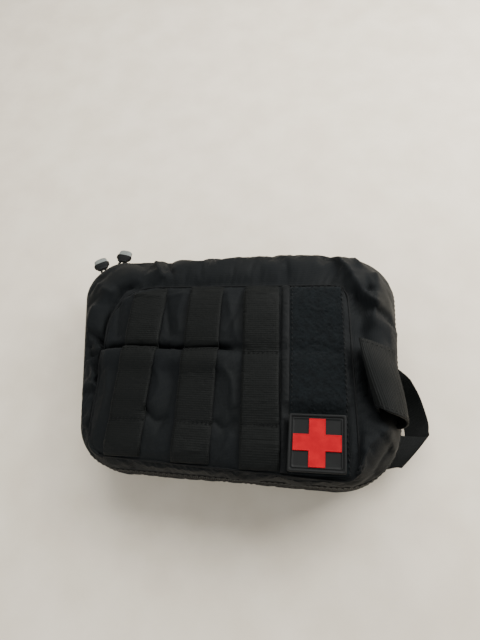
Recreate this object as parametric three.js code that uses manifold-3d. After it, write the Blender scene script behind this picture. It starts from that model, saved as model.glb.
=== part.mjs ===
// Soft first aid pouch: a two-part clamshell bag with a zip round three sides, webbing rows,
// a pile field with a cross patch, carrying straps and the dressings inside.
// Millimetres. The bag lies on its back: +Z out of the front panel, +X towards the carrying end.
import * as THREE from 'three';
import { mergeVertices } from 'three/addons/utils/BufferGeometryUtils.js';
import Module from 'manifold-3d';

// ---- driving dimensions ----
const SEAT = 0.3;              // gap between pieces that touch
const BAG_LEFT = -117;         // mean place of the hinge end at the zip
const BAG_RIGHT = 118;         // carrying end at the zip
const BAG_NEAR = -86;
const BAG_FAR = 84;
const END_SKEW = 15;           // the slack hinge end runs askew by this much each way
const FAR_SKEW = 4;            // and the far side by this much
const BACK_THICK = 7;          // padded back panel
const BACK_INSET = 8;          // back panel is this much smaller than the zip line
const WALL = 3;                // gusset cloth with its lining
const FRONT_THICK = 3;
const BACK_GUSSET_TOP = 31;
const TAPE_WIDTH = 6.6;
const TAPE_THICK = 1.4;
const COIL_HIGH = 1.9;
const COIL_THICK = 2.4;
const COIL_PROUD = 0.5;        // coil stands this far outside the tape
const COIL_GAP = 1.6;          // between the two coils, for the sliders' posts
const PANEL_LEFT = -98;
const PANEL_RIGHT = 84;
const PANEL_NEAR = -82;
const PANEL_FAR = 52;
const PANEL_RISE = 70;         // height of the front panel at its middle
const PANEL_SLOPE = 16 / 182;  // it sags towards the hinge end
const WEBBING_WIDE = 25.4;
const WEBBING_THICK = 1.5;
const ROWS = [21.7, -22, -70.5];        // middles of the rows, from the pile field to the slack end
const EDGE_MARGIN = 2;
const PILE_LEFT = 41;
const PILE_WIDE = 38;
const PILE_THICK = 1.6;
const PATCH_SIZE = 37.5;
const PATCH_THICK = 2.2;
const PATCH_RIM = 1.6;
const CROSS_LONG = 32;
const CROSS_ARM = 9.6;
const STRAP_OFFSET = 38;       // attachment straps from the middle line
const STRAP_LOW = 0.8;         // strap height above the resting plane
const STRAP_START = 96;
const STRAP_END = -98;
const SNAP_RADIUS = 6;
const SNAP_GAP = 0.9;          // between a snap and the last row on the back
const SNAP_X = STRAP_END + WEBBING_WIDE / 2;
const REAR_ROWS = [21.7, -22, SNAP_X + SNAP_RADIUS + SNAP_GAP + WEBBING_WIDE / 2];   // middles
const HANGER_WIDE = 48;
const ROLL_RADIUS = 23;
const ROLL_LONG = 72;
const ARC_STEPS = 6;

const zipMiddle = BACK_GUSSET_TOP + SEAT + TAPE_WIDTH + SEAT + COIL_HIGH + COIL_GAP / 2;
const frontGussetLow = 2 * zipMiddle - BACK_GUSSET_TOP;
const tilt = Math.atan(PANEL_SLOPE);
const panelMidX = (PANEL_LEFT + PANEL_RIGHT) / 2;
const floorInside = BACK_THICK + SEAT;

// Outlines seen from the front: [x, y, corner radius] counter-clockwise from the near hinge corner.
const zipCorners = [
  [BAG_LEFT + END_SKEW, BAG_NEAR, 24],
  [BAG_RIGHT, BAG_NEAR, 38],
  [BAG_RIGHT, BAG_FAR + FAR_SKEW, 34],
  [BAG_LEFT - END_SKEW, BAG_FAR - FAR_SKEW, 30],
];
const baseCorners = zipCorners.map(([x, y, r]) => [
  x - Math.sign(x) * BACK_INSET, y - Math.sign(y) * BACK_INSET, r - BACK_INSET / 2,
]);
const BULGE_INSET = 5;
const bulgeCorners = zipCorners.map(([x, y, r]) => [
  x - Math.sign(x) * BULGE_INSET, y > 0 ? y - BULGE_INSET : y, r,
]);
const seamCorners = [
  [PANEL_LEFT + 3, PANEL_NEAR + 4, 16],
  [PANEL_RIGHT + 4, PANEL_NEAR - 4, 10],
  [PANEL_RIGHT - 4, PANEL_FAR, 12],
  [PANEL_LEFT - 2, PANEL_FAR, 22],
];

const wasm = await Module();
wasm.setup();

// ---- shape helpers ----
function cornerArc(corners, index) {
  const count = corners.length;
  const [x, y, radius] = corners[index];
  const before = corners[(index + count - 1) % count];
  const after = corners[(index + 1) % count];
  const arriving = new THREE.Vector2(x - before[0], y - before[1]).normalize();
  const leaving = new THREE.Vector2(after[0] - x, after[1] - y).normalize();
  const start = Math.atan2(-arriving.x, arriving.y);
  let end = Math.atan2(-leaving.x, leaving.y);
  if (end < start) end += 2 * Math.PI;
  const reach = radius * Math.tan((end - start) / 2);
  const centre = new THREE.Vector2(
    x - arriving.x * reach - arriving.y * radius,
    y - arriving.y * reach + arriving.x * radius,
  );
  return { centre, radius, start, end };
}

function roundedOutline(corners, inset = 0) {
  const points = [];
  for (let i = 0; i < corners.length; i += 1) {
    const { centre, radius, start, end } = cornerArc(corners, i);
    for (let step = 0; step <= ARC_STEPS; step += 1) {
      const angle = start + (end - start) * step / ARC_STEPS;
      const size = radius - inset;
      points.push(new THREE.Vector2(centre.x + size * Math.cos(angle), centre.y + size * Math.sin(angle)));
    }
  }
  return points;
}

function extrude(points, height, base = 0, holes = []) {
  const shape = new THREE.Shape(points);
  shape.holes = holes.map((hole) => new THREE.Path(hole));
  const geometry = new THREE.ExtrudeGeometry(shape, { depth: height, bevelEnabled: false });
  geometry.translate(0, 0, base);
  return geometry;
}

function box(x0, x1, y0, y1, z0, z1) {
  const geometry = new THREE.BoxGeometry(x1 - x0, y1 - y0, z1 - z0);
  geometry.translate((x0 + x1) / 2, (y0 + y1) / 2, (z0 + z1) / 2);
  return geometry;
}

// A wall that follows one outline at each level; each level is { corners, height(x), drop },
// where drop lowers the inner side so that a shallow wall keeps its thickness.
function ringWall(levels, wall) {
  const positions = [];
  const indices = [];
  const ring = (outline, height, drop) => outline.map((point) => {
    positions.push(point.x, point.y, height(point.x) - drop);
    return positions.length / 3 - 1;
  });
  const rings = levels.map(({ corners, height, drop = 0 }) => [
    ring(roundedOutline(corners), height, 0),
    ring(roundedOutline(corners, wall), height, drop),
  ]);
  const quad = (a, b, c, d) => indices.push(a, b, c, a, c, d);
  const count = rings[0][0].length;
  for (let i = 0; i < count; i += 1) {
    const j = (i + 1) % count;
    for (let level = 0; level + 1 < rings.length; level += 1) {
      const [outer, inner] = rings[level];
      const [outerUp, innerUp] = rings[level + 1];
      quad(outer[i], outer[j], outerUp[j], outerUp[i]);
      quad(inner[j], inner[i], innerUp[i], innerUp[j]);
    }
    const [outerLow, innerLow] = rings[0];
    const [outerTop, innerTop] = rings[rings.length - 1];
    quad(outerLow[j], outerLow[i], innerLow[i], innerLow[j]);
    quad(outerTop[i], outerTop[j], innerTop[j], innerTop[i]);
  }
  const geometry = new THREE.BufferGeometry();
  geometry.setAttribute('position', new THREE.Float32BufferAttribute(positions, 3));
  geometry.setIndex(indices);
  return geometry;
}

// A strip of the outline between two of its points, with its ends trimmed back.
function outlineStrip(corners, from, to, proud, thick, low, high, trim = 0) {
  const outer = roundedOutline(corners, -proud);
  const inner = roundedOutline(corners, thick - proud);
  const slice = (ring) => {
    const points = [];
    for (let i = from; i <= to; i += 1) points.push(ring[i % ring.length].clone());
    const ends = [[0, 1], [points.length - 1, points.length - 2]];
    for (const [end, next] of ends) {
      const step = points[next].clone().sub(points[end]).setLength(trim);
      points[end].add(step);
    }
    return points;
  };
  return extrude([...slice(outer), ...slice(inner).reverse()], high - low, low);
}

function solid(geometry) {
  const bare = geometry.clone();
  bare.deleteAttribute('normal');
  bare.deleteAttribute('uv');
  const merged = mergeVertices(bare, 1e-4);
  const vertProperties = new Float32Array(merged.attributes.position.array);
  const triVerts = new Uint32Array(merged.index.array);
  return new wasm.Manifold(new wasm.Mesh({ numProp: 3, vertProperties, triVerts }));
}

function fromSolid(body) {
  const { vertProperties, triVerts } = body.getMesh();
  const geometry = new THREE.BufferGeometry();
  geometry.setAttribute('position', new THREE.BufferAttribute(vertProperties, 3));
  geometry.setIndex(new THREE.BufferAttribute(triVerts, 1));
  return geometry;
}

const join = (...pieces) => fromSolid(pieces.map(solid).reduce((sum, piece) => sum.add(piece)));
const cut = (piece, ...tools) => fromSolid(tools.map(solid).reduce((rest, tool) => rest.subtract(tool), solid(piece)));

function disc(radius, height, base = 0, sides = 20) {
  const geometry = new THREE.CylinderGeometry(radius, radius, height, sides);
  geometry.rotateX(Math.PI / 2);
  geometry.translate(0, 0, base + height / 2);
  return geometry;
}

// ---- finishes ----
const finish = (color, roughness, metalness = 0) => new THREE.MeshStandardMaterial({ color, roughness, metalness });
const cloth = finish(0x1c2022, 0.9);
const webbing = finish(0x1b1c1b, 0.8);
const pile = finish(0x15191c, 1);
const zipPlastic = finish(0x101214, 0.5);
const sliderMetal = finish(0x26282a, 0.45, 0.8);
const greyRubber = finish(0x8f9291, 0.6);
const charcoalRubber = finish(0x2a2b2b, 0.6);
const redRubber = finish(0xc93434, 0.5);
const elastic = finish(0x202224, 0.85);
const gauze = finish(0xece8de, 0.95);
const crepe = finish(0xd9bf9c, 0.95);
const tapeWhite = finish(0xe9e7e0, 0.7);
const card = finish(0xb79a72, 0.9);
const packet = finish(0xdfe3e2, 0.5);
const packetGreen = finish(0x4f8f78, 0.5);
const foil = finish(0xc8cacb, 0.25, 0.9);
const steel = finish(0xb9bcbe, 0.3, 1);

const group = new THREE.Group();
function add(name, geometry, material, parent = group) {
  const mesh = new THREE.Mesh(geometry, material);
  mesh.name = name;
  parent.add(mesh);
  return mesh;
}

// ---- back half ----
const strapTop = STRAP_LOW + WEBBING_THICK;
const rearRowLow = strapTop + SEAT;
const rearRowTop = rearRowLow + WEBBING_THICK;
const rearRowReach = STRAP_OFFSET + WEBBING_WIDE / 2 + 12;

function backPanel() {
  const plate = extrude(roundedOutline(baseCorners), BACK_THICK);
  const halfRow = WEBBING_WIDE / 2 + SEAT;
  const rows = REAR_ROWS.map((x) => box(
    x - halfRow, x + halfRow, -rearRowReach - SEAT, rearRowReach + SEAT, -1, rearRowTop + SEAT,
  ));
  const channels = [-1, 1].map((side) => box(
    STRAP_END - SEAT, STRAP_START + SEAT,
    side * STRAP_OFFSET - halfRow, side * STRAP_OFFSET + halfRow, -1, rearRowTop + SEAT,
  ));
  return cut(plate, ...rows, ...channels);
}

add('back_panel', backPanel(), cloth);
add('back_gusset', ringWall([
  { corners: baseCorners, height: () => BACK_THICK + SEAT },
  { corners: zipCorners, height: () => BACK_GUSSET_TOP },
], WALL), cloth);

// The zip runs from halfway round the near hinge corner to two thirds round the far one.
const ZIP_FROM = ARC_STEPS / 2;
const ZIP_TO = 3 * (ARC_STEPS + 1) + ARC_STEPS - 2;
const outlineCount = 4 * (ARC_STEPS + 1);
const backTapeLow = BACK_GUSSET_TOP + SEAT;
const backCoilLow = backTapeLow + TAPE_WIDTH + SEAT;
const frontCoilLow = backCoilLow + COIL_HIGH + COIL_GAP;
const frontTapeLow = frontCoilLow + COIL_HIGH + SEAT;
const zipStrip = (proud, thick, low, high) => outlineStrip(zipCorners, ZIP_FROM, ZIP_TO, proud, thick, low, high);

add('back_zip_tape', zipStrip(0, TAPE_THICK, backTapeLow, backTapeLow + TAPE_WIDTH), webbing);
add('back_zip_coil', zipStrip(COIL_PROUD, COIL_THICK, backCoilLow, backCoilLow + COIL_HIGH), zipPlastic);
// The unzipped cloth at the hinge end, in two halves that meet on the hinge line.
const GORE_TRIM = 0.5;
const goreHalf = (low, high) => outlineStrip(
  zipCorners, ZIP_TO, outlineCount + ZIP_FROM, 0, TAPE_THICK, low, high, GORE_TRIM,
);
add('hinge_gore_back', goreHalf(BACK_GUSSET_TOP + SEAT, zipMiddle - SEAT / 2), cloth);
add('hinge_gore_front', goreHalf(zipMiddle + SEAT / 2, frontGussetLow - SEAT), cloth);

REAR_ROWS.forEach((x, i) => {
  add(`rear_webbing_${i + 1}`, box(
    x - WEBBING_WIDE / 2, x + WEBBING_WIDE / 2, -rearRowReach, rearRowReach, rearRowLow, rearRowTop,
  ), webbing);
});

[1, -1].forEach((side, i) => {
  const y = side * STRAP_OFFSET;
  add(`attachment_strap_${i + 1}`, box(
    STRAP_END, STRAP_START, y - WEBBING_WIDE / 2, y + WEBBING_WIDE / 2, STRAP_LOW, strapTop,
  ), webbing);
  const cap = disc(SNAP_RADIUS, STRAP_LOW - SEAT);
  add(`snap_cap_${i + 1}`, cap.translate(SNAP_X, y, 0), sliderMetal);
  const stud = disc(SNAP_RADIUS - 1, rearRowTop - rearRowLow, rearRowLow);
  add(`snap_stud_${i + 1}`, stud.translate(SNAP_X, y, 0), sliderMetal);
});

// ---- front half, on a deck that follows the sagging panel ----
const deckZ = (x) => PANEL_RISE + (x - panelMidX) * PANEL_SLOPE;
const frontDrop = (FRONT_THICK + SEAT) / Math.cos(tilt);
const BULGE_RISE = 6;
const BULGE_SLOPE = 0.02;
const bulgeHeight = (x) => frontGussetLow + BULGE_RISE + (x - BAG_LEFT) * BULGE_SLOPE;
add('front_gusset', ringWall([
  { corners: zipCorners, height: () => frontGussetLow },
  { corners: bulgeCorners, height: bulgeHeight, drop: WALL },
  { corners: seamCorners, height: (x) => deckZ(x) - frontDrop },
], WALL), cloth);
add('front_zip_coil', zipStrip(COIL_PROUD, COIL_THICK, frontCoilLow, frontCoilLow + COIL_HIGH), zipPlastic);
add('front_zip_tape', zipStrip(0, TAPE_THICK, frontTapeLow, frontTapeLow + TAPE_WIDTH), webbing);

const deck = new THREE.Group();
deck.position.set(panelMidX, 0, PANEL_RISE);
deck.rotation.y = -tilt;
group.add(deck);
const along = (x) => (x - panelMidX) / Math.cos(tilt);
const deckCorners = seamCorners.map(([x, y, r]) => [along(x), y, r]);
const nearEdge = (x) => {
  const [left, right] = deckCorners;
  return left[1] + (right[1] - left[1]) * (x - left[0]) / (right[0] - left[0]);
};
const deckBox = (x0, x1, y0, y1, z0, z1) => box(along(x0), along(x1), y0, y1, z0, z1);

add('front_panel', extrude(roundedOutline(deckCorners), FRONT_THICK, -FRONT_THICK), cloth, deck);
ROWS.forEach((x, i) => {
  const near = nearEdge(along(x - WEBBING_WIDE / 2)) + EDGE_MARGIN;
  add(`webbing_row_${i + 1}`, deckBox(
    x - WEBBING_WIDE / 2, x + WEBBING_WIDE / 2, near, PANEL_FAR - EDGE_MARGIN, SEAT, SEAT + WEBBING_THICK,
  ), webbing, deck);
});
const bindingLeft = ROWS[0] + WEBBING_WIDE / 2 + 1;
const panelNear = nearEdge(along(bindingLeft)) + EDGE_MARGIN;
add('pile_binding', deckBox(
  bindingLeft, PILE_LEFT - SEAT, panelNear, PANEL_FAR - EDGE_MARGIN, SEAT, SEAT + 1,
), webbing, deck);
add('pile_field', deckBox(
  PILE_LEFT, PILE_LEFT + PILE_WIDE, panelNear, PANEL_FAR - EDGE_MARGIN, SEAT, SEAT + PILE_THICK,
), pile, deck);

// Patch at the near corner of the pile field.
const patch = new THREE.Group();
patch.position.set(
  along(PILE_LEFT + PILE_WIDE / 2 + 1), panelNear + PATCH_SIZE / 2 - 1.4, SEAT + PILE_THICK + SEAT,
);
deck.add(patch);
const half = PATCH_SIZE / 2;
const HOOK_THICK = 1.2;
add('patch_hook_backing', box(-half + 1, half - 1, -half + 1, half - 1, 0, HOOK_THICK), webbing, patch);
const patchLow = HOOK_THICK + SEAT;
const patchTop = patchLow + PATCH_THICK;
const field = half - PATCH_RIM;
add('patch_base', cut(
  box(-half, half, -half, half, patchLow, patchTop),
  box(-field, field, -field, field, patchTop - 0.8, patchTop + 1),
), charcoalRubber, patch);
const crossLow = patchTop - 0.8 + SEAT;
const armEnd = CROSS_LONG / 2;
const armSide = CROSS_ARM / 2;
add('patch_cross', join(
  box(-armEnd, armEnd, -armSide, armSide, crossLow, crossLow + 1),
  box(-armSide, armSide, -armEnd, armEnd, crossLow, crossLow + 1),
), redRubber, patch);

// Net pocket and its hem on the inside of the front panel.
const pocketTop = -FRONT_THICK - SEAT;
const POCKET_INSET = 9;
add('net_pocket', extrude(roundedOutline(deckCorners, POCKET_INSET), 0.8, pocketTop - 0.8), elastic, deck);
add('pocket_hem', deckBox(
  PANEL_RIGHT - 34, PANEL_RIGHT - 22, PANEL_NEAR + 14, PANEL_FAR - 12, pocketTop - 2.3, pocketTop - 1.1,
), elastic, deck);

// Wide hanger band: a flattened webbing tube leaning on the carrying end of the front gusset.
const HANGER_HALF_LONG = 22;
const HANGER_HALF_DEEP = 8;
const HANGER_NEAR = -43;
function hangerBand() {
  const ring = (inset) => new THREE.EllipseCurve(
    0, 0, HANGER_HALF_LONG - inset, HANGER_HALF_DEEP - inset, 0, 2 * Math.PI,
  ).getPoints(28).slice(0, 28);
  return extrude(ring(0), HANGER_WIDE, 0, [ring(WEBBING_THICK)]);
}
const shoulderLow = new THREE.Vector2(BAG_RIGHT - BULGE_INSET, bulgeHeight(BAG_RIGHT - BULGE_INSET));
const shoulderHigh = new THREE.Vector2(PANEL_RIGHT, deckZ(PANEL_RIGHT) - frontDrop);
const shoulder = shoulderHigh.clone().sub(shoulderLow);
const lean = Math.atan2(shoulder.y, -shoulder.x);
const shoulderNormal = new THREE.Vector2(Math.sin(lean), Math.cos(lean));
const hangerCentre = shoulderLow.clone().lerp(shoulderHigh, 0.4)
  .addScaledVector(shoulderNormal, HANGER_HALF_DEEP + 2 * SEAT);
const hanger = new THREE.Group();
hanger.position.set(hangerCentre.x, HANGER_NEAR + HANGER_WIDE, hangerCentre.y);
hanger.rotation.y = lean;
group.add(hanger);
const hangerTube = add('hanger_band', hangerBand(), webbing, hanger);
hangerTube.rotation.x = Math.PI / 2;

// ---- carrying handle: one strap folded flat out of the back gusset ----
const HANDLE_Z = 20;
const HANDLE_THICK = 2.2;
const gussetLean = BACK_INSET / (BACK_GUSSET_TOP - BACK_THICK - SEAT);
const handleRoot = BAG_RIGHT - (BACK_GUSSET_TOP - HANDLE_Z - HANDLE_THICK) * gussetLean + SEAT;
const handleOutline = [
  [0, 16], [12, 13], [20, 2], [31, -30], [30, -38], [10, -62], [0, -66],
  [0, -41], [7.2, -41], [6, -9], [0, -9],
].map(([x, y]) => new THREE.Vector2(handleRoot + x, y));
add('carry_handle', extrude(handleOutline.reverse(), HANDLE_THICK, HANDLE_Z), webbing);

// ---- zip sliders on the far hinge corner, each with a cord pull ----
const SLIDER_LONG = 9;
const SLIDER_HIGH = 9;
const SLIDER_FIT = 1;
const SLIDER_PLATE = 1.5;
const LUG_HALF = 1.5;
const LUG_PROUD = 1.6;
const POST_HALF = 2.5;
const lugEnd = COIL_PROUD + SLIDER_FIT + SLIDER_PLATE + LUG_PROUD;
function slider() {
  const coilOuter = COIL_PROUD + SLIDER_FIT;
  const coilInner = COIL_PROUD - COIL_THICK - SLIDER_FIT;
  const post = (COIL_GAP - 2 * SEAT) / 2;
  const long = SLIDER_LONG / 2;
  const high = SLIDER_HIGH / 2;
  return join(
    box(-long, long, coilOuter, coilOuter + SLIDER_PLATE, -high, high),
    box(-long, long, coilInner - SLIDER_PLATE, coilInner, -high, high),
    box(-POST_HALF, POST_HALF, coilInner - 0.5, coilOuter + 0.5, -post, post),
    box(-LUG_HALF, LUG_HALF, coilOuter + 0.5, lugEnd, -LUG_HALF, LUG_HALF),
    new THREE.SphereGeometry(LUG_HALF, 12, 8).translate(0, lugEnd, 0),
  );
}
const CORD_LONG = 4.5;
const CORD_DIAMETER = 3;
const TIP_LONG = 14;
const TIP_WIDE = 11;
const TIP_THICK = 5;
const farHinge = cornerArc(zipCorners, 3);
const PULLS = [
  { at: 134, lead: 118 },
  { at: 110, lead: 80 },
];
PULLS.forEach(({ at, lead }, i) => {
  const angle = THREE.MathUtils.degToRad(at);
  const carriage = new THREE.Group();
  carriage.position.set(
    farHinge.centre.x + farHinge.radius * Math.cos(angle),
    farHinge.centre.y + farHinge.radius * Math.sin(angle),
    zipMiddle,
  );
  carriage.rotation.z = angle - Math.PI / 2;
  group.add(carriage);
  add(`zip_slider_${i + 1}`, slider(), sliderMetal, carriage);
  const pull = new THREE.Group();
  pull.position.set(0, lugEnd, 0);
  pull.rotation.z = THREE.MathUtils.degToRad(lead - at);
  carriage.add(pull);
  const start = LUG_HALF + SEAT;
  const cord = new THREE.CylinderGeometry(CORD_DIAMETER / 2, CORD_DIAMETER / 2, CORD_LONG, 10);
  add(`pull_cord_${i + 1}`, cord.translate(0, start + CORD_LONG / 2, 0), webbing, pull);
  const tipStart = start + CORD_LONG + SEAT;
  const outline = [
    [-TIP_WIDE / 2 + 1.5, 0], [TIP_WIDE / 2 - 1.5, 0], [TIP_WIDE / 2, TIP_LONG], [-TIP_WIDE / 2, TIP_LONG],
  ].map(([x, y]) => new THREE.Vector2(x, tipStart + y));
  add(`pull_tip_${i + 1}`, extrude(outline, TIP_THICK, -TIP_THICK / 2), greyRubber, pull);
});

// ---- contents, held by elastic loops on the back panel ----
const LOOP_THICK = 1.2;
const LOOP_WIDE = 25;
const PACK_LEFT = -86;
const PACK_RIGHT = -24;
const loopRadius = ROLL_RADIUS + SEAT + LOOP_THICK;
const rollX = PACK_RIGHT + 5.5 + loopRadius;
const rollPitch = 2 * loopRadius + 3;
const rollY = ROLL_LONG / 2 + 1;
const ROLLS = [
  { name: 'crepe_bandage', x: rollX, y: rollY, material: crepe },
  { name: 'gauze_roll_1', x: rollX, y: -rollY, material: gauze },
  { name: 'gauze_roll_2', x: rollX + rollPitch, y: -rollY, material: gauze },
];
const rollMiddle = floorInside + ROLL_RADIUS;
function elasticLoop() {
  const inner = ROLL_RADIUS + SEAT;
  const outer = loopRadius;
  const arc = (radius, flip) => Array.from({ length: 17 }, (_, i) => {
    const angle = Math.PI * (flip ? 16 - i : i) / 16;
    return new THREE.Vector2(radius * Math.cos(angle), radius * Math.sin(angle));
  });
  const foot = -ROLL_RADIUS;
  const outline = [
    new THREE.Vector2(outer, foot), ...arc(outer, false), new THREE.Vector2(-outer, foot),
    new THREE.Vector2(-inner, foot), ...arc(inner, true), new THREE.Vector2(inner, foot),
  ];
  const geometry = extrude(outline, LOOP_WIDE, -LOOP_WIDE / 2);
  geometry.rotateX(Math.PI / 2);
  return geometry;
}
ROLLS.forEach(({ name, x, y, material }, i) => {
  const roll = new THREE.CylinderGeometry(ROLL_RADIUS, ROLL_RADIUS, ROLL_LONG, 28);
  add(name, roll.translate(x, y, rollMiddle), material);
  add(`elastic_loop_${i + 1}`, elasticLoop().translate(x, y, rollMiddle), elastic);
});

const TAPE_RADIUS = 26;
const CORE_RADIUS = 13;
const TAPE_ROLL_WIDE = 25;
function tube(outer, inner, height) {
  const shape = (radius) => new THREE.EllipseCurve(0, 0, radius, radius, 0, 2 * Math.PI).getPoints(28).slice(0, 28);
  return extrude(shape(outer), height, 0, [shape(inner)]);
}
const tapePlace = new THREE.Vector3(rollX + rollPitch + 6, TAPE_RADIUS + 16, floorInside);
const placed = (geometry, place) => geometry.translate(place.x, place.y, place.z);
add('tape_roll', placed(tube(TAPE_RADIUS, CORE_RADIUS + SEAT, TAPE_ROLL_WIDE), tapePlace), tapeWhite);
add('tape_core', placed(tube(CORE_RADIUS, CORE_RADIUS - 1.5, TAPE_ROLL_WIDE), tapePlace), card);
const plasterLeft = rollX + rollPitch + loopRadius + 3;
add('plaster_packet', box(
  plasterLeft, plasterLeft + 11, -60, -4, floorInside, floorInside + 32,
), packetGreen);

const PACK_HIGH = 14;
add('triangular_bandage', box(PACK_LEFT, PACK_RIGHT, 3, 68, floorInside, floorInside + PACK_HIGH), packet);
add('foil_blanket', box(PACK_LEFT, PACK_RIGHT, -68, -3, floorInside, floorInside + PACK_HIGH), foil);
const dressingLow = floorInside + PACK_HIGH + SEAT;
const DRESSING_HIGH = 4;
add('wound_dressing', box(PACK_LEFT, PACK_RIGHT, -62, 62, dressingLow, dressingLow + DRESSING_HIGH), packet);
const wipesLow = dressingLow + DRESSING_HIGH + SEAT;
const WIPES_HIGH = 3;
add('wipe_packets', box(PACK_LEFT + 6, PACK_RIGHT - 6, 10, 58, wipesLow, wipesLow + WIPES_HIGH), packetGreen);
add('glove_packet', box(PACK_LEFT + 4, PACK_RIGHT - 4, -58, 6, wipesLow, wipesLow + WIPES_HIGH), packet);

// Scissors lie on the packets: two blades on a pivot rivet.
const BLADE_THICK = 1.8;
const PIVOT_RADIUS = 2;
const RING_OUTER = 14;
const RING_INNER = 9.5;
const scissorLow = wipesLow + WIPES_HIGH + SEAT;
const SCISSOR_X = -72;
function scissorBlade(side, low) {
  const outline = [
    [-5 * side, -8], [5 * side, -8], [5 * side, 10], [1 * side, 58], [-1 * side, 58], [-5 * side, 10],
  ].map(([x, y]) => new THREE.Vector2(x, y));
  const shank = [
    [-4 * side, -6], [4 * side, -6], [14 * side, -52], [8 * side, -54],
  ].map(([x, y]) => new THREE.Vector2(x, y));
  if (side > 0) shank.reverse();
  if (side < 0) outline.reverse();
  const ringPlace = [12 * side, -61, 0];
  const ring = disc(RING_OUTER, BLADE_THICK, low, 24).translate(...ringPlace);
  const ringHole = disc(RING_INNER, BLADE_THICK + 2, low - 1, 24).translate(...ringPlace);
  const pivotHole = disc(PIVOT_RADIUS + SEAT, BLADE_THICK + 2, low - 1, 16);
  const whole = join(extrude(outline, BLADE_THICK, low), extrude(shank, BLADE_THICK, low), ring);
  return cut(whole, ringHole, pivotHole);
}
const upperBladeLow = BLADE_THICK + SEAT;
const scissors = new THREE.Group();
scissors.position.set(SCISSOR_X, 0, scissorLow);
group.add(scissors);
add('scissor_lower_blade', scissorBlade(-1, 0), steel, scissors);
add('scissor_upper_blade', scissorBlade(1, upperBladeLow), steel, scissors);
const rivetTop = upperBladeLow + BLADE_THICK;
add('scissor_rivet', join(
  disc(PIVOT_RADIUS, rivetTop + 1, 0, 16),
  disc(PIVOT_RADIUS + 1.6, 1, rivetTop + SEAT, 16),
), steel, scissors);

export default group;
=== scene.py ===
"""Soft zipped first aid pouch: cloth shell, webbing rows, pile field with a patch, straps and dressings."""
import math
import bpy
import numpy as np
from mathutils import Matrix, Vector


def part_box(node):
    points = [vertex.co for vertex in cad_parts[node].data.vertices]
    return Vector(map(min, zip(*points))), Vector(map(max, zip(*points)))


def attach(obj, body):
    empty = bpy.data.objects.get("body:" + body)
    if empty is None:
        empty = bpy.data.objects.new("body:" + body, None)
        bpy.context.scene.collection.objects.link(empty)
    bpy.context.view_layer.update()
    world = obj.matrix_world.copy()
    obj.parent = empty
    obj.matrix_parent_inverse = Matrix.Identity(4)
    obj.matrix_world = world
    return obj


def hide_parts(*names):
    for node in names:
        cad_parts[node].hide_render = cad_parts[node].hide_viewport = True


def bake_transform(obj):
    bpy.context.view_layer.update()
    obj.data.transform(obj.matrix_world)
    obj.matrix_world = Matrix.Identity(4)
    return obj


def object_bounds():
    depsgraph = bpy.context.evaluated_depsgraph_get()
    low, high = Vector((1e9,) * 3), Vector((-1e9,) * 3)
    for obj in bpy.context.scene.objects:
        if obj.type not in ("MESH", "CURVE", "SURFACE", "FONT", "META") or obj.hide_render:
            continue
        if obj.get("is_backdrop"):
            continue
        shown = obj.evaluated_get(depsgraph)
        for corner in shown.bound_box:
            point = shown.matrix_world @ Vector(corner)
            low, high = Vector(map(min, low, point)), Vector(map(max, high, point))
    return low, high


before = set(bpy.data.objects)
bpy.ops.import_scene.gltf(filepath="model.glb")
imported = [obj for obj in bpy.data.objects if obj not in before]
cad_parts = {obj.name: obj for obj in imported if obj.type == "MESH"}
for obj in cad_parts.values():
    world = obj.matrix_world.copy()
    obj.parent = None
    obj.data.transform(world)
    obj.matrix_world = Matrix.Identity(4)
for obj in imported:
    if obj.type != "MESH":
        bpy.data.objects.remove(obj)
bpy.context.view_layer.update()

MM = 0.001
rng = np.random.default_rng(7)

# ---- driving dimensions, millimetres ----
ZIP_CORNERS = [(-102, -84, 35), (118, -86, 42), (118, 88, 34), (-132, 80, 30)]
BASE_CORNERS = [(-94, -76, 31), (110, -78, 38), (110, 80, 30), (-124, 72, 26)]
SHOULDER_CORNERS = [(-95, -81, 42), (111, -91, 60), (108, 94, 68), (-111, 84, 72)]
SEAM_CORNERS = [(-95, -78, 16), (88, -86, 10), (80, 52, 12), (-101, 52, 34)]
BACK_SEAM_Z = 7.3
BACK_ZIP_Z = 31.2
FRONT_ZIP_Z = 50.6
DECK_SLOPE = 16 / 182
DECK_MIDDLE = (-7, 70)
WEBBING = 25.4
RIB = 1.6                 # rib pitch of the webbing
RIB_DEEP = 0.28
ROW_MIDDLES = (21.7, -22, -68)
ROW_LEAN = (-0.05, -0.02, 0.0)   # how the slack panel turns the rows
ROW_SLANT = (0.0, 0.0, 6.5)    # how far each row's far end is cut back to follow the seam
LEAN_CENTRE = -16         # the y about which the rows and the pile field lean
FAR_END = 50.5            # where the rows and the pile field are sewn off
TACKS = (-54, -3.5, 47)   # sewn lines across the rows
ACROSS = 112              # cells of the panel along X
ALONG = 84                # and along Y
LEVELS = 22               # rings of the front gusset
SHOULDER_SHARE = 1.02     # height of the gusset's shoulder, as a share of the seam's
ARC_POINTS = 61           # points round one corner of the zip's outline
SEAM_ARC_POINTS = 33      # and round one corner of a sewn outline
CLOTH_THICK = 1.2


# ---- mesh helpers ----
def node_box(name):
    """A CAD node's lowest and highest corner in millimetres."""
    low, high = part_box(name)
    return np.array(low) / MM, np.array(high) / MM


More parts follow.
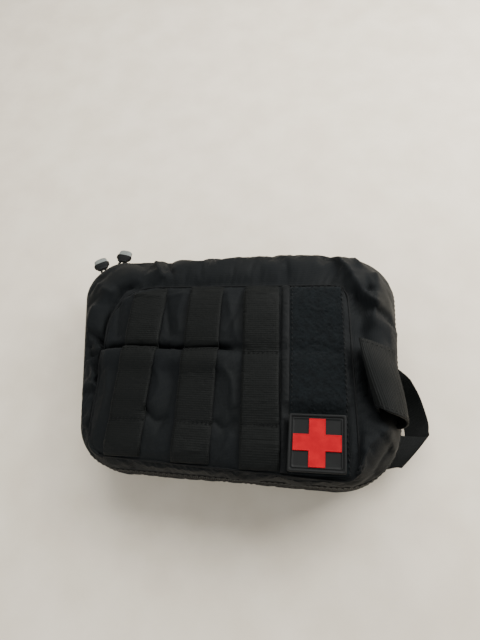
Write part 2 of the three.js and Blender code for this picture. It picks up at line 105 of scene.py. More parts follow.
def make(name, points, faces, uvs=None, smooth=True):
    """A mesh object from points in millimetres; uvs is one (u, v) in millimetres for each face corner."""
    mesh = bpy.data.meshes.new(name)
    mesh.from_pydata((np.asarray(points, float) * MM).tolist(), [], [list(map(int, f)) for f in faces])
    if uvs is not None:
        layer = mesh.uv_layers.new(name="weave")
        layer.data.foreach_set("uv", np.asarray(uvs, np.float32).ravel())
    mesh.polygons.foreach_set("use_smooth", [smooth] * len(mesh.polygons))
    obj = bpy.data.objects.new(name, mesh)
    bpy.context.collection.objects.link(obj)
    return obj


def finish_piece(obj, material, slot, body, *nodes):
    """Material, replaced nodes and the body that carries the piece; slot is not used."""
    obj.data.materials.clear()
    obj.data.materials.append(material)
    if nodes:
        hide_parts(*nodes)
    if body:
        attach(obj, body)
    return obj


def grid_faces(rows, columns, closed=False):
    """Quads of a rows x columns grid of points; closed joins the last column to the first."""
    cells = columns if closed else columns - 1
    i, j = np.meshgrid(np.arange(rows - 1), np.arange(cells), indexing="ij")
    k = (j + 1) % columns
    corners = [i * columns + j, i * columns + k, (i + 1) * columns + k, (i + 1) * columns + j]
    return np.stack(corners, -1).reshape(-1, 4)


def grid_border(index):
    """The loop of point numbers round the edge of a grid."""
    return np.concatenate([index[0, :-1], index[:-1, -1], index[-1, :0:-1], index[:0:-1, 0]])


def rim_faces(rows, columns):
    """Quads that close a grid of points and its twin below along their edge."""
    count = rows * columns
    edge = grid_border(np.arange(count).reshape(rows, columns))
    after = np.roll(edge, -1)
    return np.stack([edge, edge + count, after + count, after], -1)


def flipped_uvs(uv):
    """Face-corner (u, v) for the same quads wound the other way."""
    return uv.reshape(-1, 4, 2)[:, ::-1].reshape(-1, 2)


def capped_faces(rings, sides):
    """Faces of a skin of closed rings, with a cap on its first and its last."""
    faces = [list(f) for f in grid_faces(rings, sides, True)]
    faces.append(list(range(sides))[::-1])
    faces.append([(rings - 1) * sides + j for j in range(sides)])
    return faces


def running(steps):
    """Running total of steps that starts from nought."""
    return np.concatenate([[0], np.cumsum(steps)])


def grid_uvs(points, closed=False):
    """Face-corner (u, v) from the lengths run over a grid of points."""
    wrap = np.concatenate([points, points[:, :1]], 1) if closed else points
    u = running(np.linalg.norm(np.diff(wrap, axis=1), axis=2).mean(0))
    v = running(np.linalg.norm(np.diff(points, axis=0), axis=2).mean(1))
    i, j = np.meshgrid(np.arange(len(points) - 1), np.arange(wrap.shape[1] - 1), indexing="ij")
    corners = [np.stack([u[b], v[a]], -1) for a, b in ((i, j), (i, j + 1), (i + 1, j + 1), (i + 1, j))]
    return np.stack(corners, 2).reshape(-1, 2)


def join_parts(parts):
    """(points, faces) of several bodies put together."""
    points, faces, start = [], [], 0
    for part_points, part_faces in parts:
        points.append(np.asarray(part_points, float))
        faces += [[start + i for i in face] for face in part_faces]
        start += len(part_points)
    return np.concatenate(points), faces


def smoothstep(x, low, high):
    """Rises smoothly from nought at low to 1 at high."""
    t = np.clip((np.asarray(x, float) - low) / (high - low), 0, 1)
    return t * t * (3 - 2 * t)


def between(x, rise, top, fall, end):
    """1 from top to fall, fading to nought at rise and at end."""
    return smoothstep(x, rise, top) * (1 - smoothstep(x, fall, end))


def bell(x, width):
    """A bump of height 1 at nought."""
    return np.exp(-(np.asarray(x, float) / width) ** 2)


def resample(points, count, closed=False):
    """Evenly spaced points along a path."""
    points = np.asarray(points, float)
    if closed:
        points = np.concatenate([points, points[:1]])
    run = running(np.linalg.norm(np.diff(points, axis=0), axis=1))
    at = np.linspace(0, run[-1], count + 1 if closed else count)
    out = np.stack([np.interp(at, run, points[:, i]) for i in range(points.shape[1])], 1)
    return out[:-1] if closed else out


def spline(points, count):
    """A smooth curve through given points."""
    p = np.asarray(points, float)
    p = np.concatenate([2 * p[:1] - p[1:2], p, 2 * p[-1:] - p[-2:-1]])
    t = np.linspace(0, len(p) - 3 - 1e-9, count)
    k = t.astype(int)
    f = (t - k)[:, None]
    a, b, c, d = p[k], p[k + 1], p[k + 2], p[k + 3]
    slope = (c - a) * f
    bend = (2 * a - 5 * b + 4 * c - d) * f ** 2
    twist = (3 * b - a - 3 * c + d) * f ** 3
    return 0.5 * (2 * b + slope + bend + twist)


def frames_along(path, up):
    """Unit tangent, side and up vectors at each point of a path."""
    tangent = np.gradient(path, axis=0)
    tangent /= np.linalg.norm(tangent, axis=1)[:, None]
    up = np.broadcast_to(np.asarray(up, float), path.shape)
    side = np.cross(tangent, up)
    side /= np.maximum(np.linalg.norm(side, axis=1), 1e-9)[:, None]
    return tangent, side, np.cross(side, tangent)


def tube(path, radius, sides=8, up=(0, 0, 1), closed=False):
    """Points and faces of a round tube along a path."""
    path = np.asarray(path, float)
    if closed:
        path = np.concatenate([path[-1:], path, path[:1]])
    _, side, top = frames_along(path, up)
    if closed:
        path, side, top = path[1:-1], side[1:-1], top[1:-1]
    angle = np.linspace(0, 2 * math.pi, sides, endpoint=False)
    ring = np.cos(angle)[None, :, None] * side[:, None] + np.sin(angle)[None, :, None] * top[:, None]
    radius = np.broadcast_to(np.asarray(radius, float), (len(path),))[:, None, None]
    points = (path[:, None] + ring * radius).reshape(-1, 3)
    if not closed:
        return points, capped_faces(len(path), sides)
    faces = [list(f) for f in grid_faces(len(path), sides, True)]
    last = (len(path) - 1) * sides
    faces += [[last + j, last + (j + 1) % sides, (j + 1) % sides, j] for j in range(sides)]
    return points, faces


def bead(centre, axes, rings=5, sides=8):
    """An ellipsoid with three half-axes given as vectors."""
    lat = np.linspace(-math.pi / 2, math.pi / 2, rings + 2)[1:-1]
    lon = np.linspace(0, 2 * math.pi, sides, endpoint=False)
    a, b = np.meshgrid(lat, lon, indexing="ij")
    unit = np.stack([np.cos(a) * np.cos(b), np.cos(a) * np.sin(b), np.sin(a)], -1).reshape(-1, 3)
    unit = np.concatenate([unit, [[0, 0, -1], [0, 0, 1]]])
    points = np.asarray(centre, float) + unit @ np.asarray(axes, float)
    faces = [list(f) for f in grid_faces(rings, sides, True)]
    low, high = rings * sides, rings * sides + 1
    faces += [[low, (j + 1) % sides, j] for j in range(sides)]
    top = (rings - 1) * sides
    faces += [[high, top + j, top + (j + 1) % sides] for j in range(sides)]
    return points, faces


def stitches(path, normal, long=2.6, gap=1.3, thick=0.42):
    """A row of thread stitches lying on a path."""
    path = np.asarray(path, float)
    run = np.linalg.norm(np.diff(path, axis=0), axis=1).sum()
    count = max(2, int(run / (long + gap)))
    places = resample(path, count)
    tangent, side, top = frames_along(places, normal)
    return join_parts([
        bead(c, (t * long / 2, s * thick, n * thick), 3, 6)
        for c, t, s, n in zip(places, tangent, side, top)
    ])


def solidify(obj, thick, offset=-1):
    """Cloth thickness in millimetres, kept as a modifier."""
    modifier = obj.modifiers.new("cloth", "SOLIDIFY")
    modifier.thickness = thick * MM
    modifier.offset = offset
    modifier.use_quality_normals = True
    return obj


def corner_arc(corners, index, count):
    """Points round one corner of an outline, counter-clockwise."""
    x, y, radius = corners[index]
    before = np.array(corners[index - 1][:2], float)
    after = np.array(corners[(index + 1) % len(corners)][:2], float)
    here = np.array([x, y], float)
    arriving = (here - before) / np.linalg.norm(here - before)
    leaving = (after - here) / np.linalg.norm(after - here)
    start = math.atan2(-arriving[0], arriving[1])
    end = math.atan2(-leaving[0], leaving[1])
    if end < start:
        end += 2 * math.pi
    reach = radius * math.tan((end - start) / 2)
    centre = here - arriving * reach + np.array([-arriving[1], arriving[0]]) * radius
    angle = np.linspace(start, end, count)
    return centre + radius * np.stack([np.cos(angle), np.sin(angle)], 1)


def outline_sides(corners):
    """Four paths from the middle of each corner to the next, in the panel grid's cells."""
    arcs = [corner_arc(corners, i, SEAM_ARC_POINTS) for i in range(4)]
    middle = SEAM_ARC_POINTS // 2
    sides = []
    for i, cells in enumerate((ACROSS, ALONG, ACROSS, ALONG)):
        path = np.concatenate([arcs[i][middle:], arcs[(i + 1) % 4][:middle + 1]])
        sides.append(resample(path, cells + 1))
    return sides


def outline_ring(corners):
    """One closed ring whose points match the edge of the panel grid."""
    return np.concatenate([side[:-1] for side in outline_sides(corners)])


def filled_outline(corners):
    """A grid of flat places inside an outline, and each place's share across and along it."""
    near, right, far, left = outline_sides(corners)
    far, left = far[::-1], left[::-1]
    s = np.linspace(0, 1, ACROSS + 1)[None, :, None]
    t = np.linspace(0, 1, ALONG + 1)[:, None, None]
    flat = (1 - t) * near[None] + t * far[None] + (1 - s) * left[:, None] + s * right[:, None]
    flat -= (1 - s) * (1 - t) * near[0] + s * (1 - t) * near[-1] + (1 - s) * t * far[0] + s * t * far[-1]
    return flat, s, t


def deck_z(x):
    """Height of the sloping deck under the front panel."""
    return DECK_MIDDLE[1] + (np.asarray(x, float) - DECK_MIDDLE[0]) * DECK_SLOPE


# ---- cloth simulation ----
def settle(points, faces, held, taut, growth, pressure, frames, cap, bending=0.4):
    """Relaxes cloth at ten times its size. held is how firmly each point is pinned, taut how little of the
    spare cloth (growth) it gets, and cap the most that a point may move, in millimetres."""
    grow = 10 * MM
    mesh = bpy.data.meshes.new("settling")
    mesh.from_pydata((points * grow).tolist(), [], [list(map(int, f)) for f in faces])
    obj = bpy.data.objects.new("settling", mesh)
    bpy.context.collection.objects.link(obj)
    for name, weights in (("held", np.round(held, 2)), ("taut", np.round(taut, 2))):
        group = obj.vertex_groups.new(name=name)
        for level in np.unique(weights[weights > 0]):
            group.add(np.flatnonzero(weights == level).tolist(), float(level), "REPLACE")
    cloth = obj.modifiers.new("Cloth", "CLOTH")
    settings = cloth.settings
    settings.quality = 5
    settings.mass = 0.3
    settings.tension_stiffness = 25
    settings.compression_stiffness = 25
    settings.shear_stiffness = 12
    settings.bending_stiffness = bending
    settings.tension_damping = 10
    settings.compression_damping = 10
    settings.vertex_group_mass = "held"
    settings.vertex_group_shrink = "taut"
    settings.shrink_min = -growth
    settings.shrink_max = 0
    settings.use_pressure = True
    settings.uniform_pressure_force = pressure
    settings.effector_weights.gravity = 0
    cloth.collision_settings.use_collision = False
    cloth.point_cache.frame_end = frames
    scene = bpy.context.scene
    for step in range(1, frames + 1):
        scene.frame_set(step)
    shown = obj.evaluated_get(bpy.context.evaluated_depsgraph_get())
    co = np.zeros(len(points) * 3)
    shown.data.vertices.foreach_get("co", co)
    scene.frame_set(1)
    bpy.data.objects.remove(obj)
    bpy.data.meshes.remove(mesh)
    move = co.reshape(-1, 3) / grow - points
    length = np.linalg.norm(move, axis=1)
    return points + move * (cap * np.tanh(length / cap) / np.maximum(length, 1e-9))[:, None]


# ---- materials ----
def hex_colour(value):
    """sRGB hex to linear RGBA."""
    parts = [int(value[i:i + 2], 16) / 255 for i in (0, 2, 4)]
    return [c / 12.92 if c <= 0.04045 else ((c + 0.055) / 1.055) ** 2.4 for c in parts] + [1]


def node(tree, kind, inputs=None, **settings):
    """Adds a shader node. inputs maps a socket to a value or to another node's output."""
    made = tree.nodes.new(f"ShaderNode{kind}")
    for name, value in settings.items():
        setattr(made, name, value)
    for socket, value in (inputs or {}).items():
        if isinstance(value, bpy.types.NodeSocket):
            tree.links.new(value, made.inputs[socket])
        else:
            made.inputs[socket].default_value = value
    return made.outputs


def surface(name, base, roughness, **sockets):
    """A new material with its shader; returns (material, tree, shader)."""
    material = bpy.data.materials.new(name)
    material.use_nodes = True
    tree = material.node_tree
    shader = tree.nodes["Principled BSDF"]
    shader.inputs["Base Color"].default_value = hex_colour(base)
    shader.inputs["Roughness"].default_value = roughness
    for socket, value in sockets.items():
        shader.inputs[socket.replace("_", " ")].default_value = value
    material.diffuse_color = hex_colour(base)
    return material, tree, shader


def mottle(tree, dark, light, place, size, low=0.35, high=0.65):
    """Colour that drifts between two shades over patches of the given size in millimetres."""
    noise = node(tree, "TexNoise", {"Vector": place, "Scale": 1 / size, "Detail": 4.0})
    share = node(tree, "MapRange", {"Value": noise["Fac"], "From Min": low, "From Max": high})
    shades = {"Factor": share["Result"], "A": hex_colour(dark), "B": hex_colour(light)}
    mixed = node(tree, "Mix", shades, data_type="RGBA")
    return mixed, share


def in_millimetres(tree):
    """Object place in millimetres, so that a scale is one over a real size."""
    where = node(tree, "TexCoord")["Object"]
    return node(tree, "VectorMath", {0: where, "Scale": 1000.0}, operation="SCALE")["Vector"]


def weave_height(tree, warp, weft):
    """Height of a plain weave: one bump for each crossing, threads warp and weft millimetres apart."""
    place = node(tree, "UVMap", uv_map="weave")["UV"]
    cell = node(tree, "SeparateXYZ", {0: place})
    waves = []
    for axis, pitch in (("X", warp), ("Y", weft)):
        turned = node(tree, "Math", {0: cell[axis], 1: math.pi / pitch}, operation="MULTIPLY")
        waves.append(node(tree, "Math", {0: turned[0]}, operation="SINE")[0])
    crossing = node(tree, "Math", {0: waves[0], 1: waves[1]}, operation="MULTIPLY")
    return node(tree, "Math", {0: crossing[0]}, operation="ABSOLUTE")[0]


def bump(tree, shader, height, strength, distance):
    """Surface relief of the given depth in millimetres."""
    relief = node(tree, "Bump", {"Height": height, "Strength": strength, "Distance": distance * MM})
    tree.links.new(relief["Normal"], shader.inputs["Normal"])


def woven(name, dark, light, roughness, warp, weft, deep, sheen=0.25):
    """Cloth of crossing yarn: a fine grain, a painted highlight on the yarn's raised crossings and painted
    shade in the hollows between them, a dusty drift of tone.
    """
    material, tree, shader = surface(name, dark, roughness, Sheen_Weight=sheen, Sheen_Roughness=0.45,
                                     Specular_IOR_Level=0.11)
    place = in_millimetres(tree)
    mixed, share = mottle(tree, dark, light, place, 26)
    height = weave_height(tree, warp, weft)
    # Painted highlight and painted shade: the base colour is made lighter on the weave's raised crossings and
    # darker in the hollows between them.
    painted_crown_light = node(tree, "MapRange", {"Value": height, "To Min": 0.72, "To Max": 1.12})
    weave_colour_with_painted_light = node(tree, "VectorMath", {0: mixed[2], "Scale": painted_crown_light["Result"]}, operation="SCALE")
    tree.links.new(weave_colour_with_painted_light["Vector"], shader.inputs["Base Color"])
    limits = {"To Min": roughness - 0.08, "To Max": roughness + 0.06}
    rough = node(tree, "MapRange", {"Value": share["Result"], **limits})
    tree.links.new(rough["Result"], shader.inputs["Roughness"])
    fuzz = node(tree, "TexNoise", {"Vector": place, "Scale": 2.2, "Detail": 3.0})
    both = node(tree, "Math", {0: fuzz["Fac"], 1: 0.35, 2: height}, operation="MULTIPLY_ADD")
    bump(tree, shader, both[0], 0.7, deep)
    return material


def grained(name, dark, light, roughness, size, deep, **sockets):
    """Moulded, filmed or papery finishes: a grain of the given size with a drift of shade."""
    material, tree, shader = surface(name, dark, roughness, **sockets)
    place = in_millimetres(tree)
    mixed, share = mottle(tree, dark, light, place, size * 12)
    tree.links.new(mixed[2], shader.inputs["Base Color"])
    limits = {"To Min": roughness - 0.06, "To Max": roughness + 0.06}
    rough = node(tree, "MapRange", {"Value": share["Result"], **limits})
    tree.links.new(rough["Result"], shader.inputs["Roughness"])
    grain = node(tree, "TexNoise", {"Vector": place, "Scale": 1 / size, "Detail": 5.0, "Roughness": 0.6})
    bump(tree, shader, grain["Fac"], 0.6, deep)
    return material


# The yarn of every cloth here is drawn about twice as coarse as the real one, so that the weave shows.
# Coated nylon pack cloth, plain woven and dyed black: dull, dusty, hardly any shine.
CLOTH = woven("nylon_pack_cloth", "06090a", "0a0d0f", 0.68, 0.9, 0.9, 0.16, 0.03)
# Nylon webbing, woven in ribs: the ribs are modelled, and the yarn between them gives a dull shine, with a
# painted highlight on its raised crossings and painted shade between them.
WEB = woven("nylon_webbing", "050706", "090b0a", 0.64, 1.1, 0.8, 0.14, 0.025)
# Nylon binding tape, woven flat and folded over the seams: closer and more even than the webbing.
PIPING = woven("nylon_binding_tape", "050708", "080a0b", 0.65, 0.8, 1.0, 0.12, 0.04)
# Bonded nylon thread, twisted and waxed: smoother than the cloth, so each stitch catches a little light.
THREAD = woven("bonded_nylon_thread", "070909", "0c0e0e", 0.55, 0.5, 0.5, 0.05, 0.04)
# Knitted nylon elastic: dark grey, matt and soft, in coarse cords.
ELASTIC = woven("knitted_elastic", "101213", "191c1e", 0.75, 1.6, 1.0, 0.3, 0.05)
# Bleached cotton gauze, loosely woven: warm white and fuzzy, with an open grain.
GAUZE = woven("loose_cotton_gauze", "e2ddd0", "f2eee4", 0.9, 1.5, 1.5, 0.4, 0.1)
# Unbleached cotton crepe: tan and dry, its weft crinkled into short waves.
CREPE = woven("crinkled_cotton_crepe", "cdb38f", "dfc7a5", 0.95, 0.9, 2.4, 0.5, 0.1)
# Cotton cloth tape with a zinc oxide paste: a fine weave, off white, smoother than the gauze.
CLOTH_TAPE = woven("zinc_oxide_cloth_tape", "dcd8cf", "ece9e1", 0.7, 0.6, 0.6, 0.08, 0.05)
# Nylon loop pile, knitted and brushed up: soft and matt.
PILE = grained("nylon_loop_pile", "05080a", "0d1113", 0.95, 0.32, 0.5, Sheen_Weight=0.03,
               Sheen_Roughness=0.6, Specular_IOR_Level=0.08)
# Drawn nylon wire, coiled and set by heat: hard and half shiny, so its turns glint.
COIL = grained("nylon_zip_coil", "0a0b0c", "121415", 0.38, 0.4, 0.04, Specular_IOR_Level=0.3)
# Cast zinc under a dark baked enamel: the metal's shine, dulled and rubbed by use.
ENAMEL = grained("enamelled_zinc", "222427", "303336", 0.35, 0.5, 0.03, Metallic=0.75)
# Thermoplastic rubber, moulded: matt mid grey with a fine even grain.
GREY_RUBBER = grained("moulded_grey_rubber", "5c605d", "6c706c", 0.6, 0.5, 0.05)
# The same rubber in charcoal, from a finer mould: nearly black, with broad soft lights.
CHARCOAL = grained("moulded_charcoal_rubber", "0b0c0c", "101111", 0.6, 0.45, 0.05, Specular_IOR_Level=0.17)
# The same rubber pigmented red: an even, full colour with little shine.
RED = grained("moulded_red_rubber", "990615", "a80a18", 0.55, 0.45, 0.05, Specular_IOR_Level=0.08)
# Grey-brown card, rolled and glued: dry, matt and slightly fibrous.
CARD = grained("rolled_card", "a98b62", "bfa27a", 0.9, 0.8, 0.08)
# Polythene film, pressed shut with heat: pale, with soft lights broken by its creases.
PALE_FILM = grained("pale_sealed_film", "d4d9d8", "e6eae9", 0.38, 2.4, 0.35, Coat_Weight=0.15)
# The same film tinted green.
GREEN_FILM = grained("green_sealed_film", "3f7f69", "5a9a83", 0.38, 2.4, 0.35, Coat_Weight=0.15)
# Polyester film with an aluminium coat, folded small: mirror bright, broken by fine crinkles.
FOIL = grained("crinkled_foil_film", "b9bcbe", "d6d8d9", 0.22, 3.2, 0.9, Metallic=1.0)
# Stainless steel, stamped and brushed: bright metal with a fine satin grain.
STEEL = grained("brushed_stainless_steel", "a9acae", "c3c6c8", 0.3, 0.6, 0.02, Metallic=1.0)


# ---- front half shell ----
def crease(xy, path, deep, wide):
    """Height added along a given line: a ridge where deep is positive, a valley where negative."""
    path = spline(np.array(path, float), 12 * len(path))
    run = np.linspace(0, 1, len(path))
    taper = between(run, 0, 0.18, 0.82, 1)
    best = np.full(len(xy), 1e9)
    level = np.zeros(len(xy))
    for point, strength in zip(path, taper):
        distance = np.linalg.norm(xy - point, axis=1)
        nearer = distance < best
        best[nearer] = distance[nearer]
        level[nearer] = strength
    fade = 1 - smoothstep(best, wide * 2, wide * 4)
    return deep * np.exp(-(np.hypot(best, 0.5) - 0.5) / wide) * fade * level


def crease_height(xy, creases):
    """Height that a list of creases adds at flat places."""
    return sum(crease(xy, *fold) for fold in creases)


# Each crease is a path of (x, y), the height of its ridge (negative for a valley) and its width.
GUSSET_CREASES = [
    ([(70, 82), (80, 66), (92, 44), (101, 34)], 5, 4),
    ([(84, 84), (92, 66), (98, 46)], 3.5, 3.5),
    ([(83, 53), (90, 34), (90, 8), (93, -20), (97, -44)], -4.5, 4),
    ([(100, 72), (101, 54), (99, 34), (93, 14)], 4.5, 4),
    ([(91, 72), (94, 56), (95, 44)], -4, 3.5),
    ([(84, -84), (91, -68), (99, -57), (111, -46)], 4.5, 4.5),
    ([(95, -78), (101, -66), (108, -58)], -4, 4),
    ([(-78, 55), (-94, 46), (-101, 12), (-97, -16)], -5, 4),
    ([(-116, 14), (-106, -9), (-92, -19)], -5, 4),
    ([(-97, -20), (-94, -36), (-93, -70)], -4.5, 4),
    ([(-101, 2), (-98, -14), (-95, -30)], -6, 4.5),
    ([(-112, -6), (-104, -16), (-99, -34)], 4, 4),
    ([(-72, 80), (-67, 70), (-58, 58)], 3.2, 4),
    ([(-62, 90), (-60, 76), (-52, 60)], -2.5, 4),
    ([(-118, 58), (-108, 50), (-98, 46)], 3, 5),
    ([(-112, 40), (-116, 20), (-112, 2)], 3, 7),
    ([(-106, -22), (-108, -40), (-104, -62)], 3, 6),
    ([(108, 30), (110, 5), (109, -25)], 3, 6),
    ([(-40, 74), (0, 79), (40, 80), (70, 78)], 1.5, 5),
]
PANEL_CREASES = [
    ([(-57, 50), (-53, 32), (-47, 6)], -1.5, 3),
    ([(-40, 50), (-44, 30), (-39, 8)], 1.2, 4),
    ([(-8, 50), (-4, 32), (3, 8)], 1.4, 3.5),
    ([(5, 50), (2, 34), (-5, 12)], -1.5, 3),
    ([(-54, -12), (-49, -30), (-56, -50)], 1.4, 4),
    ([(-43, -10), (-40, -34), (-46, -66)], -1.5, 3),
    ([(-58, -44), (-48, -54), (-38, -50)], -1.7, 2.6),
    ([(-8, -12), (2, -24), (5, -46)], 1.5, 3.5),
    ([(-9, -50), (0, -57), (9, -48)], -1.7, 2.5),
    ([(5, -58), (2, -70), (-6, -80)], 1.2, 3),
    ([(-93, 42), (-91, 22), (-88, 4)], -1.8, 3.5),
    ([(-92, -14), (-88, -34), (-90, -64)], 1.4, 3.5),
    ([(-89, 46), (-60, 43), (-30, 47)], 0.9, 3),
    ([(-30, 44), (0, 46), (34, 42)], 0.8, 3.5),
    ([(-84, -70), (-50, -74), (-10, -72)], 0.9, 3.5),
    ([(80, 40), (78, 0), (82, -40)], 1.4, 3),
    ([(42, 44), (58, 30), (76, 34)], 0.5, 6),
    ([(42, -4), (60, 4), (78, -6)], -0.5, 6),
]
FOLD_SET = 0.45           # share of a crease that stays in the cloth for good
SEAM_DIP = 1.6            # the panel's seam is drawn in below the cloth on both sides
FOLD_END = (-112, -96, -12, 14)      # where the deep fold across the rows begins and ends
FOLD_DEEP = 6.6
FOLD_LIP = 3.6            # height of the cloth that rolls over the fold
FOLD_LEAN = 4.2           # how far that cloth leans over it
FOLD_LEAN_AT = -6.5       # the y where it leans most
CROWN_HIGH = 2.2          # the stuffing's crown
HOLLOW_DEEP = 1.3         # and the waves on it


def panel_crown(x, y):
    """The stuffed panel's shape above the flat deck: a crown, hollows between the rows, one deep fold."""
    inner = between(x, -100, -80, 70, 90) * smoothstep(y, -84, -66) * (1 - smoothstep(y, 34, 54))
    lift = CROWN_HIGH * inner
    lift += HOLLOW_DEEP * inner * np.sin((x + 30) / 21) * np.sin((y + 10) / 24)
    along = between(x, *FOLD_END)
    fold_line = -3.5 + 0.012 * (x + 50) + 1.2 * np.sin(x / 17)
    t = y - fold_line
    lift += along * (-FOLD_DEEP * bell(t - 2.4, 3.6) + FOLD_LIP * bell(t + 6.5, 7))
    lift += crease_height(np.column_stack([x.ravel(), y.ravel()]), PANEL_CREASES).reshape(x.shape)
    lift += 0.8 * bell(t - 1, 5) * (1 - along) * -1 * inner
    patch_bed = between(x, 36, 42, 80, 84) * (1 - smoothstep(y, -46, -36))
    return lift * (1 - patch_bed)


def front_shell():
    """Panel grid and gusset rings as one cloth, with the point numbers of its parts and its creases."""
    flat, s, t = filled_outline(SEAM_CORNERS)
    x, y = flat[..., 0], flat[..., 1]
    z = deck_z(x) - 0.6 + panel_crown(x, y)
    lean = between(x, *FOLD_END) * FOLD_LEAN * bell(y - FOLD_LEAN_AT, 5)
    across_edge = 1.9 * np.minimum(s, 1 - s) * ACROSS / 1.2
    along_edge = 1.9 * np.minimum(t, 1 - t) * ALONG / 1.2
    from_edge = np.minimum(across_edge, along_edge)[..., 0]
    z -= SEAM_DIP * np.exp(-(from_edge / 3.0) ** 2)
    panel = np.stack([x, y + lean, z], -1)
    index = np.arange((ACROSS + 1) * (ALONG + 1)).reshape(ALONG + 1, ACROSS + 1)
    edge = grid_border(index)
    points = [panel.reshape(-1, 3)]
    faces = [grid_faces(ALONG + 1, ACROSS + 1)]
    uvs = [grid_uvs(panel)]
    inner = panel.reshape(-1, 3)[edge]
    outer = np.column_stack([outline_ring(ZIP_CORNERS), np.full(len(edge), FRONT_ZIP_Z)])
    shoulder_z = FRONT_ZIP_Z + SHOULDER_SHARE * (inner[:, 2] - FRONT_ZIP_Z)
    shoulder = np.column_stack([outline_ring(SHOULDER_CORNERS), shoulder_z])
    rings = [inner]
    folds = []
    for level in range(1, LEVELS + 1):
        w = level / LEVELS
        ring = (1 - w) ** 2 * inner + 2 * w * (1 - w) * shoulder + w ** 2 * outer
        fade = between(w, 0, 0.12, 0.8, 1)
        folds.append(fade * crease_height(ring[:, :2], GUSSET_CREASES))
        ring[:, 2] += folds[-1]
        rings.append(ring)
    ring_grid = np.stack(rings)
    count = len(edge)
    start = len(points[0])
    ring_index = np.concatenate([edge[None], start + np.arange(LEVELS * count).reshape(LEVELS, count)])
    wrapped = np.concatenate([ring_index, ring_index[:, :1]], 1)
    corners = [wrapped[:-1, :-1], wrapped[1:, :-1], wrapped[1:, 1:], wrapped[:-1, 1:]]
    quads = np.stack(corners, -1).reshape(-1, 4)
    uv = grid_uvs(ring_grid, True).reshape(-1, 4, 2)[:, [0, 3, 2, 1]].reshape(-1, 2)
    points.append(ring_grid[1:].reshape(-1, 3))
    faces.append(quads)
    uvs.append(uv)
    fold_height = np.concatenate([np.zeros(start), *folds])
    fold_height[:start] = crease_height(points[0][:, :2], PANEL_CREASES) * 0.5
    cloth = (np.concatenate(points), np.concatenate(faces), np.concatenate(uvs))
    return cloth, index, edge, ring_index, fold_height


shell_cloth, panel_index, panel_edge, ring_index, fold_height = front_shell()
shell_points, shell_faces, shell_uvs = shell_cloth
flat_panel = shell_points[panel_index][..., :2]
held = np.zeros(len(shell_points))
held[ring_index[-1]] = 1
held[panel_index.ravel()] = 0.35       # the stuffing behind the panel holds it loosely
held[panel_edge] = 1
taut = np.zeros(len(shell_points))
taut[panel_index.ravel()] = 0.7
px, py = shell_points[:, 0], shell_points[:, 1]
patch_low, patch_high = node_box("patch_base")
beside_patch = (px > patch_low[0] - 3) & (px < patch_high[0] + 3) & (py < patch_high[1] + 3)
held[beside_patch & (shell_points[:, 2] > 70)] = 1       # the bed of the patch stays flat
shell_points = settle(shell_points, shell_faces, held, taut, growth=0.05, pressure=0.8, frames=22, cap=4)
shell_points[:, 2] += FOLD_SET * fold_height
shell = make("front_shell", shell_points, shell_faces, shell_uvs)
solidify(shell, CLOTH_THICK)
finish_piece(shell, CLOTH, "nylon_cloth", "front_half", "front_gusset", "front_panel")

panel = shell_points[panel_index]
du = np.gradient(panel, axis=1)
dv = np.gradient(panel, axis=0)
panel_normals = np.cross(du, dv)
panel_normals /= np.linalg.norm(panel_normals, axis=-1)[..., None]


def panel_cell(x, y):
    """Grid column and row whose flat place is (x, y), by a few steps of correction."""
    column = (x - flat_panel[..., 0].min()) / np.ptp(flat_panel[..., 0]) * ACROSS
    row = (y - flat_panel[..., 1].min()) / np.ptp(flat_panel[..., 1]) * ALONG
    for _ in range(12):
        i = np.clip(row.astype(int), 0, ALONG - 1)
        j = np.clip(column.astype(int), 0, ACROSS - 1)
        here = flat_panel[i, j]
        right = flat_panel[i, j + 1] - here
        up = flat_panel[i + 1, j] - here
        gap = np.stack([x, y], -1) - here - right * (column - j)[..., None] - up * (row - i)[..., None]
        det = right[..., 0] * up[..., 1] - right[..., 1] * up[..., 0]
        column = np.clip(column + (gap[..., 0] * up[..., 1] - gap[..., 1] * up[..., 0]) / det, 0, ACROSS)
        row = np.clip(row + (right[..., 0] * gap[..., 1] - right[..., 1] * gap[..., 0]) / det, 0, ALONG)
    return column, row


def on_panel(x, y, lift=0.0):
    """Points above the settled panel, over flat places (x, y)."""
    x, y = np.broadcast_arrays(np.asarray(x, float), np.asarray(y, float))
    column, row = panel_cell(x, y)
    i = np.clip(row.astype(int), 0, ALONG - 1)
    j = np.clip(column.astype(int), 0, ACROSS - 1)
    fi, fj = (row - i)[..., None], (column - j)[..., None]
    a, b, c, d = panel[i, j], panel[i, j + 1], panel[i + 1, j], panel[i + 1, j + 1]
    point = a * (1 - fi) * (1 - fj) + b * (1 - fi) * fj + c * fi * (1 - fj) + d * fi * fj
    normal = panel_normals[i, j] * (1 - fi) * (1 - fj) + panel_normals[i, j + 1] * (1 - fi) * fj
    normal = normal + panel_normals[i + 1, j] * fi * (1 - fj) + panel_normals[i + 1, j + 1] * fi * fj
    normal /= np.linalg.norm(normal, axis=-1)[..., None]
    return point + normal * np.asarray(lift, float)[..., None], normal


